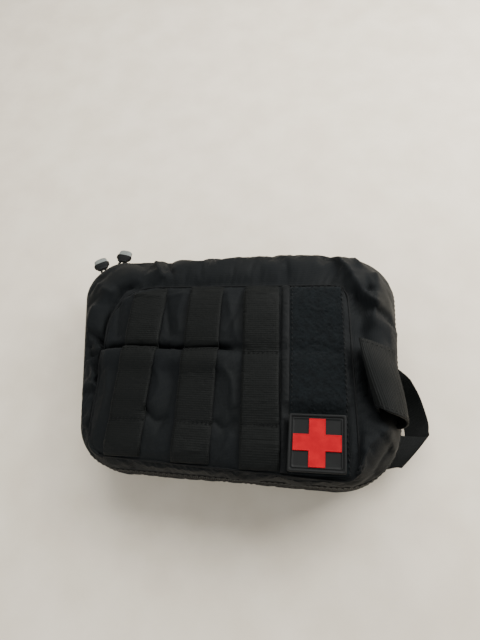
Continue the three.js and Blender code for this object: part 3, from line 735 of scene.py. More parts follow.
# ---- webbing, pile field and patch on the panel ----
def ribbed_sheet(name, top, normal, thick, ribs_along=0, rib=RIB, deep=RIB_DEEP):
    """A closed strap from the grid of its top: ribs cross axis 0 (1) or axis 1 (2), or none (0)."""
    rows, columns = top.shape[:2]
    if ribs_along:
        axis = ribs_along - 1
        steps = np.linalg.norm(np.diff(top, axis=axis), axis=-1).mean(axis=1 - axis)
        run = running(steps)
        wave = deep * (np.abs(np.sin(math.pi * run / rib)) - 0.7)
        wave = wave[:, None] if axis == 0 else wave[None]
        top = top + normal * wave[..., None]
    below = top - normal * thick
    points = np.concatenate([top.reshape(-1, 3), below.reshape(-1, 3)])
    count = rows * columns
    faces = grid_faces(rows, columns)
    uv = grid_uvs(top)
    rim = rim_faces(rows, columns)
    run = np.arange(len(rim)) * 0.5
    rim_corners = ((0, 0), (0, thick), (0.5, thick), (0.5, 0))
    rim_uv = np.stack([np.stack([run + u, run * 0 + v], -1) for u, v in rim_corners], 1)
    all_faces = np.concatenate([faces, faces[:, ::-1] + count, rim])
    all_uvs = np.concatenate([uv, flipped_uvs(uv), rim_uv.reshape(-1, 2)])
    return make(name, points, all_faces, all_uvs)


ROW_THICK = 1.2
ROW_LIFT = 1.3            # the row's top above the panel at its tacks
ROW_BOW = 1.9             # the most that a row bows out between two tacks
BOW_SPAN = 45             # the span that bows out in full
ROW_CELLS = 15            # points across a row
# Stitches: length, gap and half the thread's thickness.
TACK_STITCH = (1.9, 0.7, 0.34)
FIELD_STITCH = (2.4, 1.4, 0.36)
HEM_STITCH = (2.4, 1.2, 0.4)
TAPE_STITCH = (2.3, 1.5, 0.36)


def row_lift(y, near, far):
    """Gap under a row: it is sewn down at the tacks and bows out between them."""
    stops = np.array([near, *TACKS, far])
    lift = np.zeros_like(y)
    for low, high in zip(stops[:-1], stops[1:]):
        inside = (y >= low) & (y <= high)
        share = (y[inside] - low) / (high - low)
        lift[inside] = ROW_BOW * np.sin(math.pi * share) ** 0.7 * min(1, (high - low) / BOW_SPAN)
    return lift


def seam_near(x):
    """Flat y of the panel's near seam."""
    return -78 + (np.asarray(x, float) + 95) * (-8 / 183)


for number, middle in enumerate(ROW_MIDDLES, 1):
    low_x = middle - WEBBING / 2
    high_x = middle + WEBBING / 2
    near = float(seam_near(middle)) + 1.5
    along = np.arange(near, FAR_END, RIB / 4)
    across = np.linspace(0, 1, ROW_CELLS)
    lean = ROW_LEAN[number - 1] * (along - LEAN_CENTRE)
    x = low_x + lean[:, None] + across[None] * WEBBING
    slant = ROW_SLANT[number - 1] * (1 - across)[None] * smoothstep(along, 0, FAR_END)[:, None]
    y = along[:, None] - slant
    edge_curl = 0.35 * np.abs(2 * across - 1) ** 6
    sway = 0.5 * np.sin(along / 19 + number)[:, None] * (across - 0.5)[None]
    lift = ROW_LIFT + row_lift(along, near, FAR_END)[:, None] - edge_curl[None] + sway
    top, normal = on_panel(x, y, lift)
    row = ribbed_sheet(f"row_{number}", top, normal, ROW_THICK, ribs_along=1)
    finish_piece(row, WEB, "nylon_webbing", "front_half", f"webbing_row_{number}")
    tacks = []
    for tack in TACKS[:-1]:
        for offset in (-0.7, 0.7):
            lane = np.linspace(low_x + 1.2, high_x - 1.2, 20) + ROW_LEAN[number - 1] * (tack - LEAN_CENTRE)
            path, normals = on_panel(lane, np.full(20, tack + offset), 1.55)
            tacks.append(stitches(path, normals.mean(0), *TACK_STITCH))
    bars = make(f"row_tacks_{number}", *join_parts(tacks))
    finish_piece(bars, THREAD, "nylon_webbing", "front_half")

FIELD_LEAN = -0.04
FIELD_WIDE = 38
PILE_STEP = 0.62          # spacing of the pile's loops, drawn coarser than real ones so that they show
field_left = node_box("pile_field")[0][0]
pile_left = field_left + 0.2
pile_right = field_left + FIELD_WIDE
pile_x = np.arange(pile_left, pile_right, PILE_STEP)
pile_y = np.arange(float(seam_near(60)) + 1.8, FAR_END, PILE_STEP)
gx, gy = np.meshgrid(pile_x, pile_y)
flat_gx = gx
gx = gx + FIELD_LEAN * (gy - LEAN_CENTRE)
loops = 1.1 + rng.normal(0, 0.17, gx.shape)
loops += 0.08 * np.sin(gx / 3.1 + np.sin(gy / 5)) * np.sin(gy / 2.7)
from_rim = [flat_gx - pile_left, pile_right - flat_gx, gy - pile_y[0], pile_y[-1] - gy]
rim_fade = np.minimum.reduce(from_rim)
loops *= 0.35 + 0.65 * smoothstep(rim_fade, 0, 1.6)
under_patch = (gx > patch_low[0] - 1) & (gx < patch_high[0] + 1) & (gy < patch_high[1] + 1)
loops[under_patch] = np.minimum(loops[under_patch], 1.0)
top, normal = on_panel(gx, gy, loops)
pile = ribbed_sheet("loop_field", top, normal, 1.3)
finish_piece(pile, PILE, "loop_pile", "front_half", "pile_field")

# Binding tape between the first row and the pile field, then the field's rows of stitches.
BINDING_CELLS = 9
bind_y = np.arange(float(seam_near(38)) + 1.5, FAR_END, 0.8)
bind_x = np.linspace(35.6, 41.6, BINDING_CELLS)
gx, gy = np.meshgrid(bind_x, bind_y)
gx = gx + FIELD_LEAN * (gy - LEAN_CENTRE)
hump = 0.7 + 0.9 * np.sin(np.linspace(0, math.pi, BINDING_CELLS)) ** 0.6
top, normal = on_panel(gx, gy, np.broadcast_to(hump, gx.shape))
binding = ribbed_sheet("field_binding", top, normal, 0.9)
finish_piece(binding, PIPING, "nylon_webbing", "front_half", "pile_binding")
rows_of_thread = []
for x_line in (43.2, 78.4):
    line_y = np.linspace(bind_y[0] + 1, 49.5, 60)
    rows_of_thread.append(on_panel(x_line + FIELD_LEAN * (line_y - LEAN_CENTRE), line_y, 1.35)[0])
rows_of_thread.append(on_panel(np.linspace(42, 78, 40), np.full(40, 49.3), 1.35)[0])
rows_of_thread = [stitches(path, (0, 0, 1), *FIELD_STITCH) for path in rows_of_thread]
field_thread = make("field_stitching", *join_parts(rows_of_thread))
finish_piece(field_thread, THREAD, "nylon_webbing", "front_half")

# Piping round the panel's seam.
seam_loop = shell_points[panel_edge]
piping = make("seam_piping", *tube(resample(seam_loop, 620, True), 0.75, 8, closed=True))
finish_piece(piping, PIPING, "nylon_webbing", "front_half")

# ---- patch ----
tilt = math.atan(DECK_SLOPE)
patch_centre = (patch_low + patch_high) / 2
PATCH = 36.2              # side of the square plate
CROSS_LONG = 15.1         # half the cross's span
CROSS_ARM = 5.2           # half the width of its arms


def on_deck(points, centre):
    """Local points laid on the sloping deck about a centre."""
    x_axis = np.array([math.cos(tilt), 0, math.sin(tilt)])
    z_axis = np.array([-math.sin(tilt), 0, math.cos(tilt)])
    points = np.asarray(points, float)
    return centre + points[:, :1] * x_axis + points[:, 1:2] * np.array([0, 1, 0]) + points[:, 2:] * z_axis


def stepped(outline_at, levels):
    """A closed body from an outline that is inset and raised level by level: levels are (inset, z)."""
    rings = []
    for inset, z in levels:
        outline = outline_at(inset)
        rings.append(np.column_stack([outline, np.full(len(outline), z)]))
    return np.concatenate(rings), capped_faces(len(rings), len(rings[0]))


def rounded_square(size, radius):
    """The outline of a square with rounded corners, at any inset."""
    def at(inset):
        half = size / 2 - inset
        bend = max(radius - inset, 0.3)
        corners = [(-half, -half, bend), (half, -half, bend), (half, half, bend), (-half, half, bend)]
        return resample(np.concatenate([corner_arc(corners, i, 9) for i in range(4)]), 120, True)
    return at


def cross_outline(long, arm):
    """The outline of an equal-armed cross, at any inset."""
    corner = [(-arm, -long), (arm, -long), (arm, -arm), (long, -arm), (long, arm), (arm, arm),
              (arm, long), (-arm, long), (-arm, arm), (-long, arm), (-long, -arm), (-arm, -arm)]
    def at(inset):
        drawn_in = [(math.copysign(abs(x) - inset, x), math.copysign(abs(y) - inset, y)) for x, y in corner]
        return np.array(drawn_in)
    return at


def deck_piece(name, outline_at, levels, smooth=True):
    """A stepped body laid on the deck about the patch's middle."""
    points, faces = stepped(outline_at, levels)
    return make(name, on_deck(points, patch_centre), faces, smooth=smooth)


# The plate has a raised rim, a groove and a fine bead round the cross's field.
patch_levels = [(0.5, -1.1), (0, -0.7), (0, 0.75), (0.25, 1.05), (0.8, 1.1), (1.5, 1.05), (1.7, 0.8),
                (1.75, 0.35), (2.3, 0.3), (2.45, 0.62), (2.9, 0.66), (3.1, 0.35), (4, 0.3)]
base = deck_piece("patch_plate", rounded_square(PATCH, 1.2), patch_levels)
finish_piece(base, CHARCOAL, "charcoal_rubber", "patch", "patch_base")
cross_levels = [(0, 0.2), (0, 0.85), (0.12, 1.05), (0.45, 1.1), (0.7, 1.0), (0.9, 0.98)]
cross = deck_piece("patch_cross_raised", cross_outline(CROSS_LONG, CROSS_ARM), cross_levels, smooth=False)
finish_piece(cross, RED, "red_rubber", "patch", "patch_cross")
HOOK_PITCH = 0.8
hook_line = np.arange(-16.8, 16.9, HOOK_PITCH)
hook_x, hook_y = np.meshgrid(hook_line, hook_line)
hook_top = np.stack([hook_x, hook_y, np.full(hook_x.shape, -1.25)], -1).reshape(-1, 3)
hook_points = on_deck(hook_top, patch_centre).reshape(*hook_x.shape, 3)
hook_normal = np.broadcast_to([-math.sin(tilt), 0, math.cos(tilt)], hook_points.shape)
hooks = ribbed_sheet("patch_hooks", hook_points, hook_normal, 1.1, ribs_along=2, rib=HOOK_PITCH, deep=0.15)
finish_piece(hooks, WEB, "nylon_webbing", "patch", "patch_hook_backing")


# ---- hanger band: a wide webbing loop sewn to the shoulder, its near mouth open ----
BAND_ROUND = 320          # points round the band
BAND_STEPS = 60           # and sections along it


def tube_skin(name, sections, thick, rib=RIB):
    """A webbing tube from outer cross-sections; its ribs run along the tube."""
    sections = np.asarray(sections, float)
    count = sections.shape[1]
    wrap = np.concatenate([sections, sections[:, :1]], 1)
    around = np.linalg.norm(np.diff(wrap, axis=1), axis=2).mean(0)
    run = running(around)[:-1]
    forward = np.roll(sections, -1, 1) - np.roll(sections, 1, 1)
    along = np.gradient(sections, axis=0)
    normal = np.cross(forward, along)
    normal /= np.linalg.norm(normal, axis=2)[..., None]
    middle = sections.mean(1, keepdims=True)
    if ((sections - middle) * normal).sum() < 0:
        normal = -normal
    wave = RIB_DEEP * (np.abs(np.sin(math.pi * run / rib)) - 0.7)
    outer = sections + normal * wave[None, :, None]
    inner = sections - normal * thick
    rings = np.concatenate([outer, inner[::-1], outer[:1]])
    return make(name, rings.reshape(-1, 3), grid_faces(len(rings), count, True), grid_uvs(rings, True))


def band_section(high_edge, low_edge, open_by):
    """Points of a flattened loop between two edges, opened by half its thickness."""
    a, b = np.array(high_edge, float), np.array(low_edge, float)
    middle, half = (a + b) / 2, (b - a) / 2
    across = np.array([-half[2], 0, half[0]]) / np.hypot(half[0], half[2])
    angle = np.linspace(0, 2 * math.pi, BAND_ROUND, endpoint=False)
    wide = np.sign(np.cos(angle)) * np.abs(np.cos(angle)) ** 0.9
    return middle + wide[:, None] * half + (np.sin(angle) * open_by)[:, None] * across


band_path = [  # high edge, low edge and half opening, from the far end to the near mouth
    ((86.5, 5.5, 87.0), (112.5, 4.5, 70.0), 2.6),
    ((88.5, -6, 87.6), (113.5, -7, 68), 4.0),
    ((92, -19, 87.2), (116, -20, 66), 5.4),
    ((96, -32, 86.0), (118, -34, 64.5), 6.6),
    ((99, -41, 84.5), (118.5, -47, 63.5), 7.4),
]
keys = np.array([np.concatenate([a, b, [w]]) for a, b, w in band_path])
steps = spline(keys, BAND_STEPS)
sections = np.array([band_section(k[:3], k[3:6], k[6]) for k in steps])
sections[:, :, 2] += 0.7 * np.sin(sections[:, :, 1] / 7 + sections[:, :, 0] / 11)
curl = smoothstep(np.linspace(0, 1, BAND_STEPS), 0.86, 1)
sections[:, :, 1] += curl[:, None] * 1.4 * np.sin(np.linspace(0, 4 * math.pi, BAND_ROUND))[None]
band = tube_skin("hanger_loop", sections, 1.5)
finish_piece(band, WEB, "nylon_webbing", "hanger", "hanger_band")
hems = []
for line in sections[[3, BAND_STEPS - 4]]:
    hems.append(stitches(np.concatenate([line, line[:1]]), (0, 0, 1), *HEM_STITCH))
band_thread = make("hanger_hem_stitching", *join_parts(hems))
finish_piece(band_thread, THREAD, "nylon_webbing", "hanger")

# A tab of webbing joins the band's lower edge to the gusset, and bends with the band.
tab_outer = steps[3:-3, 3:6]
tab_inner = tab_outer + np.array([1.5, 0, -5.0])
tab_share = np.linspace(0, 1, 10)[None, :, None]
tab_top = tab_outer[:, None] * (1 - tab_share) + tab_inner[:, None] * tab_share
tab_normal = np.broadcast_to(np.array([0.96, 0, 0.29]), tab_top.shape)
tab = ribbed_sheet("hanger_tab", tab_top, tab_normal, 1.1)
finish_piece(tab, WEB, "nylon_webbing", None)
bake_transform(tab)

# ---- carrying handle: one strap that turns on the slant at its two outer corners ----
HANDLE_CELLS = 22
handle_z = node_box("carry_handle")[0][2]
handle_path = [  # outer and inner edge of the strap, following it round
    ((111.5, -43, handle_z + 4.4), (109.5, -68, handle_z + 6.4)),
    ((122, -43, handle_z + 4.0), (113.5, -67.5, handle_z + 6.6)),
    ((139, -42.6, handle_z + 2.4), (119.5, -66, handle_z + 5.0)),
    ((143.6, -41.2, handle_z + 1.6), (123.0, -65.8, handle_z + 3.4)),
    ((144.4, -39.0, handle_z + 0.2), (123.8, -63.6, handle_z + 0.8)),
    ((144.4, -36.0, handle_z - 0.8), (124.0, -60.0, handle_z - 1.4)),
    ((144, -28, handle_z - 0.4), (128.5, -41, handle_z - 6.0)),
    ((139.6, -12, handle_z + 0.6), (125.0, -20, handle_z - 8.0)),
    ((135.0, -2.0, handle_z + 1.2), (121.5, -9, handle_z - 6.0)),
    ((132.0, 2.6, handle_z + 1.6), (119, -3.5, handle_z - 3.0)),
    ((122, 10, handle_z + 2.6), (115.5, -7.5, handle_z + 1.2)),
    ((111.5, 15.5, handle_z + 2.6), (110.5, -9.5, handle_z + 2.6)),
]
keys = np.array([np.concatenate(pair) for pair in handle_path])
strip = spline(keys, 420)
middle = (strip[:, :3] + strip[:, 3:]) / 2
run = running(np.linalg.norm(np.diff(middle, axis=0), axis=1))
strip = np.stack([np.interp(np.arange(0, run[-1], RIB / 4), run, strip[:, i]) for i in range(6)], 1)
share = np.linspace(0, 1, HANDLE_CELLS)[None, :, None]
top = strip[:, None, :3] * (1 - share) + strip[:, None, 3:] * share
tangent = np.gradient(top, axis=0)
across = np.gradient(top, axis=1)
normal = np.cross(across, tangent)
normal /= np.linalg.norm(normal, axis=-1)[..., None]
if normal[0, 0, 2] < 0:
    normal = -normal
top = top + normal * (0.5 * np.sin(np.linspace(0, math.pi, HANDLE_CELLS)))[None, :, None]
handle = ribbed_sheet("handle_strap", top, normal, 1.5, ribs_along=1)
finish_piece(handle, WEB, "nylon_webbing", "handle", "carry_handle")


# ---- zip: two tapes, two coils, two sliders with cord pulls ----
def outline_path(first, last, spacing):
    """Path on the zip outline from a share of corner 0 to a share of corner 3, with outward normals."""
    arcs = [corner_arc(ZIP_CORNERS, i, ARC_POINTS) for i in range(4)]
    begin = int((ARC_POINTS - 1) * first)
    end = int((ARC_POINTS - 1) * last) + 1
    return finish_path(np.concatenate([arcs[0][begin:], arcs[1], arcs[2], arcs[3][:end]]), spacing)


def finish_path(path, spacing):
    """Even points on a path, with their tangents and outward normals."""
    length = np.linalg.norm(np.diff(path, axis=0), axis=1).sum()
    path = resample(path, int(length / spacing))
    tangent = np.gradient(path, axis=0)
    tangent /= np.linalg.norm(tangent, axis=1)[:, None]
    return path, tangent, np.stack([tangent[:, 1], -tangent[:, 0]], 1)


ZIP_SPAN = (0.5, 4 / 6)
ZIP_STEP = 0.5
TOOTH = 1.3               # pitch of the coil
zip_line, zip_tangent, zip_out = outline_path(*ZIP_SPAN, ZIP_STEP)


def outline_band(name, path, out, levels, thick):
    """A closed strip of cloth on the outline: levels are (z, how far it stands out)."""
    rows = [np.column_stack([path + out * proud, np.full(len(path), z)]) for z, proud in levels]
    top = np.stack(rows)
    normal = np.broadcast_to(np.column_stack([out, np.zeros(len(out))]), top.shape)
    return ribbed_sheet(name, top, normal, thick)


def coil(name, middle, shift):
    """Coil elements as slanted beads along the zip."""
    count = int(len(zip_line) * ZIP_STEP / TOOTH)
    at = (np.arange(count) + 0.5 + shift) * TOOTH / ZIP_STEP
    beads = []
    for place in at[at < len(zip_line) - 1]:
        i = int(place)
        t = np.array([*zip_tangent[i], 0])
        o = np.array([*zip_out[i], 0])
        on_line = zip_line[i] + (place - i) * (zip_line[i + 1] - zip_line[i])
        centre = np.array([*on_line, middle]) - o * 0.5
        axes = (t * 0.5 + np.array([0, 0, 0.25]), np.array([0, 0, 1.5]) + t * 0.1, o * 1.15)
        beads.append(bead(centre, axes, 4, 8))
    return make(name, *join_parts(beads))


TAPE_PROUD = (0.2, 0.5, 0.65, 0.5, 0.25)     # how far the tape stands out, from its lower edge up
for half, body, z_tape, z_seam, z_coil, shift in (
    ("back", "back_half", (31.4, 33, 35, 37, 38.6), 33, 39.6, 0.0),
    ("front", "front_half", (43.2, 44.8, 46.8, 48.8, 50.4), 48.8, 42.2, 0.5),
):
    tape = outline_band(f"{half}_tape", zip_line, zip_out, list(zip(z_tape, TAPE_PROUD)), 1.1)
    finish_piece(tape, WEB, "nylon_webbing", body, f"{half}_zip_tape")
    finish_piece(coil(f"{half}_coil", z_coil, shift), COIL, "zip_coil", body, f"{half}_zip_coil")
    line = np.column_stack([zip_line + zip_out * 0.6, np.full(len(zip_line), z_seam)])
    thread = make(f"{half}_tape_stitching", *stitches(line, (0, 0, 1), *TAPE_STITCH))
    finish_piece(thread, THREAD, "nylon_webbing", body)

# The unzipped cloth at the hinge end bends between the two halves.
GORE_LOW = 31.4
GORE_HIGH = 50.4
arcs = [corner_arc(ZIP_CORNERS, i, ARC_POINTS) for i in (3, 0)]
gore_path = np.concatenate([arcs[0][40:], arcs[1][:31]])
gore_line, _, gore_out = finish_path(gore_path, 1.2)
gore_levels = []
for z in np.linspace(GORE_LOW, GORE_HIGH, 14):
    gore_levels.append((z, 0.2 + 1.1 * math.sin(math.pi * (z - GORE_LOW) / 19)))
gore = outline_band("hinge_cloth", gore_line, gore_out, gore_levels, 1.1)
finish_piece(gore, CLOTH, "nylon_cloth", None, "hinge_gore_back", "hinge_gore_front")
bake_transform(gore)

# The sliders stand on the far left corner's arc.
far_left = corner_arc(ZIP_CORNERS, 3, ARC_POINTS)
arc_radius = ZIP_CORNERS[3][2]
arc_top = far_left[ARC_POINTS // 2]
outwards = arc_top - (far_left[0] + far_left[-1]) / 2
arc_centre = arc_top - outwards / np.linalg.norm(outwards) * arc_radius
ZIP_Z = 40.9
PULLS = ((134, 118), (110, 80))    # where each slider stands and which way its pull lies, degrees
LUG_REACH = 4.6
PULL_DROOP = 0.004           # the grips hang a little
GRIP_SIDES = 28


def shield(long, high):
    """Slider plate outline, narrower at its tail."""
    half_long, half_high = long / 2, high / 2
    corners = [(-half_long, -half_high * 0.62, 1.2), (half_long, -half_high, 2.2),
               (half_long, half_high, 2.2), (-half_long, half_high * 0.62, 1.2)]
    def at(inset):
        ring = np.concatenate([corner_arc(corners, i, 8) for i in range(4)])
        return ring * (1 - inset / half_high)
    return at


def corner_points(half_x, half_y):
    """The four corners of a plain rectangle."""
    return np.array([(-half_x, -half_y), (half_x, -half_y), (half_x, half_y), (-half_x, half_y)])


def placed(points, origin, x_axis, y_axis, z_axis):
    """Local points laid along three axes from an origin."""
    points = np.asarray(points, float)
    return np.asarray(origin, float) + points @ np.array([x_axis, y_axis, z_axis], float)


def squarish(value):
    """A cosine or sine squared off, for sections between round and square."""
    return np.sign(value) * np.abs(value) ** 0.7


def moulding(name, place, reach, width, thick):
    """A drooping squarish bar: its half-width and half-thickness at each reach along the pull."""
    count = len(reach)
    angle = np.linspace(0, 2 * math.pi, GRIP_SIDES, endpoint=False)
    ring = np.stack([np.broadcast_to(reach[:, None], (count, GRIP_SIDES)),
                     width[:, None] * squarish(np.cos(angle)),
                     thick[:, None] * squarish(np.sin(angle)) - PULL_DROOP * reach[:, None] ** 2], -1)
    return make(name, placed(ring.reshape(-1, 3), *place), capped_faces(count, GRIP_SIDES))


# A slider is two plates, a post between them and an arch that holds the cord.
plate_levels = [(0.35, 0), (0, 0.3), (0, 1.1), (0.3, 1.45), (1.0, 1.5)]
outer_plate, plate_faces = stepped(shield(9, 9), plate_levels)
outer_plate = outer_plate[:, [0, 2, 1]] + [0, 1.45, 0]
inner_plate = outer_plate * [1, -1, 1] + [0, -1.9, 0]
post, post_faces = stepped(lambda inset: corner_points(2.2 - inset, 0.5), [(0, -3.5), (0, 1.7)])
arch_angle = np.linspace(0, math.pi, 14)
arch = np.stack([3.0 * np.cos(arch_angle), 2.9 + 2.6 * np.sin(arch_angle), 0 * arch_angle], 1)
slider_points, slider_faces = join_parts([
    (outer_plate, [face[::-1] for face in plate_faces]),
    (inner_plate, plate_faces),
    (post[:, [0, 2, 1]], post_faces),
    tube(arch, 0.7, 8, up=(0, 0, 1)),
])

# A doubled cord goes through the arch and into a moulded grip with a lighter end.
cord_loop = [(5.8, 1.1, -0.2), (4.0, 1.7, 0), (2.4, 1.9, 0.2), (0.6, 1.2, 0.9), (-0.5, 0, 1.1),
             (0.6, -1.2, 0.9), (2.4, -1.9, 0.2), (4.0, -1.7, -0.1), (5.8, -1.1, -0.3)]
cord_points, cord_faces = tube(spline(cord_loop, 60), 0.95, 10)
grip_run = np.linspace(0, 1, 40)
grip_width = 4.2 + 2.2 * smoothstep(grip_run, 0, 0.6) - 0.8 * smoothstep(grip_run, 0.93, 1)
grip_width = grip_width + 0.25 * np.sin(grip_run * 44) * (grip_run > 0.25) * (grip_run < 0.9)
grip_width[0] *= 0.6
end_run = np.linspace(0, 1, 10)
end_width = (5.9 - 0.6 * end_run) * (1 - 0.25 * smoothstep(end_run, 0.8, 1))

for number, (stand, lead) in enumerate(PULLS, 1):
    a = math.radians(stand)
    out = np.array([math.cos(a), math.sin(a), 0])
    side = np.array([math.sin(a), -math.cos(a), 0])
    up = np.array([0, 0, 1.0])
    origin = np.array([*arc_centre, ZIP_Z]) + out * arc_radius
    slider = make(f"slider_{number}_body", placed(slider_points, origin, side, out, up), slider_faces)
    finish_piece(slider, ENAMEL, "dark_metal", f"slider_{number}", f"zip_slider_{number}")
    b = math.radians(lead)
    ahead = np.array([math.cos(b), math.sin(b), 0])
    beside = np.array([-math.sin(b), math.cos(b), 0])
    place = (origin + out * LUG_REACH, ahead, beside, up)
    pull = f"pull_{number}"
    cord = make(f"{pull}_cord", placed(cord_points, *place), cord_faces)
    finish_piece(cord, WEB, "nylon_webbing", pull, f"pull_cord_{number}")
    grip = moulding(f"{pull}_grip", place, 4.9 + grip_run * 6.5, grip_width, grip_width * 0.38)
    finish_piece(grip, CHARCOAL, "charcoal_rubber", pull)
    end = moulding(f"{pull}_end", place, 10.9 + end_run * 5.2, end_width, end_width * 0.4)
    finish_piece(end, GREY_RUBBER, "grey_rubber", pull, f"pull_tip_{number}")


# ---- back half ----
BACK_RINGS = 14


def back_shell():
    """Rings of the back gusset, from the back seam up to the zip."""
    base = outline_ring(BASE_CORNERS)
    top = outline_ring(ZIP_CORNERS)
    out = top - base
    out /= np.linalg.norm(out, axis=1)[:, None]
    rings = []
    for w in np.linspace(0, 1, BACK_RINGS):
        xy = base + (top - base) * w ** 0.8
        z = np.full(len(base), BACK_SEAM_Z + (BACK_ZIP_Z - BACK_SEAM_Z) * w)
        rings.append(np.column_stack([xy + out * 1.2 * math.sin(math.pi * w), z]))
    return np.stack(rings)


rings = back_shell()
count = rings.shape[1]
faces = grid_faces(BACK_RINGS, count, True)
held = np.zeros((BACK_RINGS, count))
held[[0, -1]] = 1
low_points = settle(rings.reshape(-1, 3), faces, held.ravel(), np.zeros(held.size),
                    growth=0.035, pressure=0.5, frames=16, cap=2.2)
back_side = make("back_shell", low_points, faces, grid_uvs(rings, True))
solidify(back_side, CLOTH_THICK)
finish_piece(back_side, CLOTH, "nylon_cloth", "back_half", "back_gusset")
piping_line = np.column_stack([outline_ring(BASE_CORNERS), np.full(count, 7.6)])
back_piping = make("back_piping", *tube(resample(piping_line, 560, True), 1.3, 8, closed=True))
finish_piece(back_piping, PIPING, "nylon_webbing", "back_half")

rear_row_boxes = [node_box(f"rear_webbing_{i}") for i in (1, 2, 3)]
strap_boxes = [node_box(f"attachment_strap_{i}") for i in (1, 2)]
RECESS_SLOPE = (2.5, 0.6)     # the recess falls between these distances outside a strap
RECESS_DEEP = 4.7


def recess(points):
    """Presses the underside in where the rows and straps lie."""
    far, near = RECESS_SLOPE
    depth = np.zeros_like(points[..., 0])
    for low, high in rear_row_boxes + strap_boxes:
        inside = 1.0
        for axis in (0, 1):
            stops = (low[axis] - far, low[axis] - near, high[axis] + near, high[axis] + far)
            inside = inside * between(points[..., axis], *stops)
        depth = np.maximum(depth, inside)
    points[..., 2] = np.maximum(points[..., 2], RECESS_DEEP * depth)
    return points


def pad_grid(corners, z_low, z_high):
    """Top and bottom of a pad on one fine grid, so that its recesses are crisp."""
    flat, s, t = filled_outline(corners)
    edge = np.minimum(60 * np.minimum(s, 1 - s), 44 * np.minimum(t, 1 - t))[..., 0]
    round_off = np.sqrt(1 - (1 - np.clip(edge, 0, 1)) ** 2)
    middle = (z_low + z_high) / 2
    upper = np.dstack([flat, middle + (z_high - middle) * round_off])
    lower = np.dstack([flat, middle - (middle - z_low) * round_off])
    return upper, lower


upper, lower = pad_grid(BASE_CORNERS, 0, 7)
lower = recess(lower)
quilt = 0.35 * np.abs(np.sin(math.pi * (upper[..., 0] + upper[..., 1]) / 34)) ** 0.5
upper[..., 2] -= 0.4 - quilt
shape = upper.shape[:2]
quads = grid_faces(*shape)
rim = rim_faces(*shape)
rim_uv = np.tile([[0, 0], [0, 1], [1, 1], [1, 0]], (len(rim), 1))
uv = grid_uvs(upper)
back_pad = make("back_pad", np.concatenate([upper.reshape(-1, 3), lower.reshape(-1, 3)]),
                np.concatenate([quads, quads[:, ::-1] + shape[0] * shape[1], rim]),
                np.concatenate([uv, flipped_uvs(uv), rim_uv]))
finish_piece(back_pad, CLOTH, "nylon_cloth", "back_half", "back_panel")


def flat_strap(name, low, high, along_x, body, node):
    """Flat webbing in the place of its node, ribs across it."""
    run, wide = (0, 1) if along_x else (1, 0)
    u = np.arange(low[run], high[run], RIB / 4)
    v = np.linspace(low[wide], high[wide], ROW_CELLS)
    places = np.meshgrid(u, v, indexing="ij")
    middle = (low[2] + high[2]) / 2
    top = np.stack([places[run], places[wide], np.full(places[0].shape, middle + 0.55)], -1)
    normal = np.broadcast_to([0.0, 0.0, 1.0], top.shape)
    if not along_x:
        top, normal = top[:, ::-1], normal[:, ::-1]
    strap = ribbed_sheet(name, top, normal, 1.1, ribs_along=1, deep=0.2)
    return finish_piece(strap, WEB, "nylon_webbing", body, node)


for i, (low, high) in enumerate(rear_row_boxes, 1):
    flat_strap(f"rear_row_{i}", low, high, False, "back_half", f"rear_webbing_{i}")
for i, (low, high) in enumerate(strap_boxes, 1):
    flat_strap(f"strap_{i}_webbing", low, high, True, f"strap_{i}", f"attachment_strap_{i}")


def lathe(profile, centre, sides=40):
    """A turned piece from (radius, z) points, closed at both ends."""
    angle = np.linspace(0, 2 * math.pi, sides, endpoint=False)
    points = [np.column_stack([r * np.cos(angle), r * np.sin(angle), np.full(sides, z)]) for r, z in profile]
    return np.concatenate(points) + np.asarray(centre, float), capped_faces(len(profile), sides)


def foot_of(name):
    """A node's middle brought down to the table, and its lowest and highest z."""
    low, high = node_box(name)
    return [*((low + high) / 2)[:2], 0], low[2], high[2]


cap_profile = [(1, 0.12), (3.5, 0.06), (4.6, 0.0), (5.4, 0.06), (5.9, 0.25), (6, 0.5), (1, 0.5)]
for i in (1, 2):
    centre, _, _ = foot_of(f"snap_cap_{i}")
    cap = make(f"strap_{i}_cap", *lathe(cap_profile, centre))
    finish_piece(cap, ENAMEL, "dark_metal", f"strap_{i}", f"snap_cap_{i}")
    centre, z, z_top = foot_of(f"snap_stud_{i}")
    stud_profile = [(0.6, z), (1.9, z + 0.05), (2.1, z + 0.5), (4.6, z + 0.7), (5, z + 1.0),
                    (4.7, z_top), (0.6, z_top)]
    stud = make(f"stud_{i}", *lathe(stud_profile, centre))
    finish_piece(stud, ENAMEL, "dark_metal", "back_half", f"snap_stud_{i}")


# ---- inside: net pocket, rolls in elastic loops, tape, packets and scissors ----
pocket_x, pocket_y = np.meshgrid(np.linspace(-84, 72, 100), np.linspace(-68, 40, 70))
pocket_points, pocket_normal = on_panel(pocket_x, pocket_y, -2.6)
pocket = ribbed_sheet("net_pocket_cloth", pocket_points, pocket_normal, 0.6, ribs_along=2, rib=3.2, deep=0.35)
finish_piece(pocket, ELASTIC, "elastic_net", "front_half", "net_pocket")
hem_x, hem_y = np.meshgrid(np.linspace(56, 66, 9), np.linspace(-66, 38, 160))
hem_points, hem_normal = on_panel(hem_x, hem_y, -3.6)
hem = ribbed_sheet("net_pocket_hem", hem_points, hem_normal, 1.0, ribs_along=1, rib=2.4, deep=0.3)
finish_piece(hem, ELASTIC, "elastic_net", "front_half", "pocket_hem")


ROLL_SIDES = 96


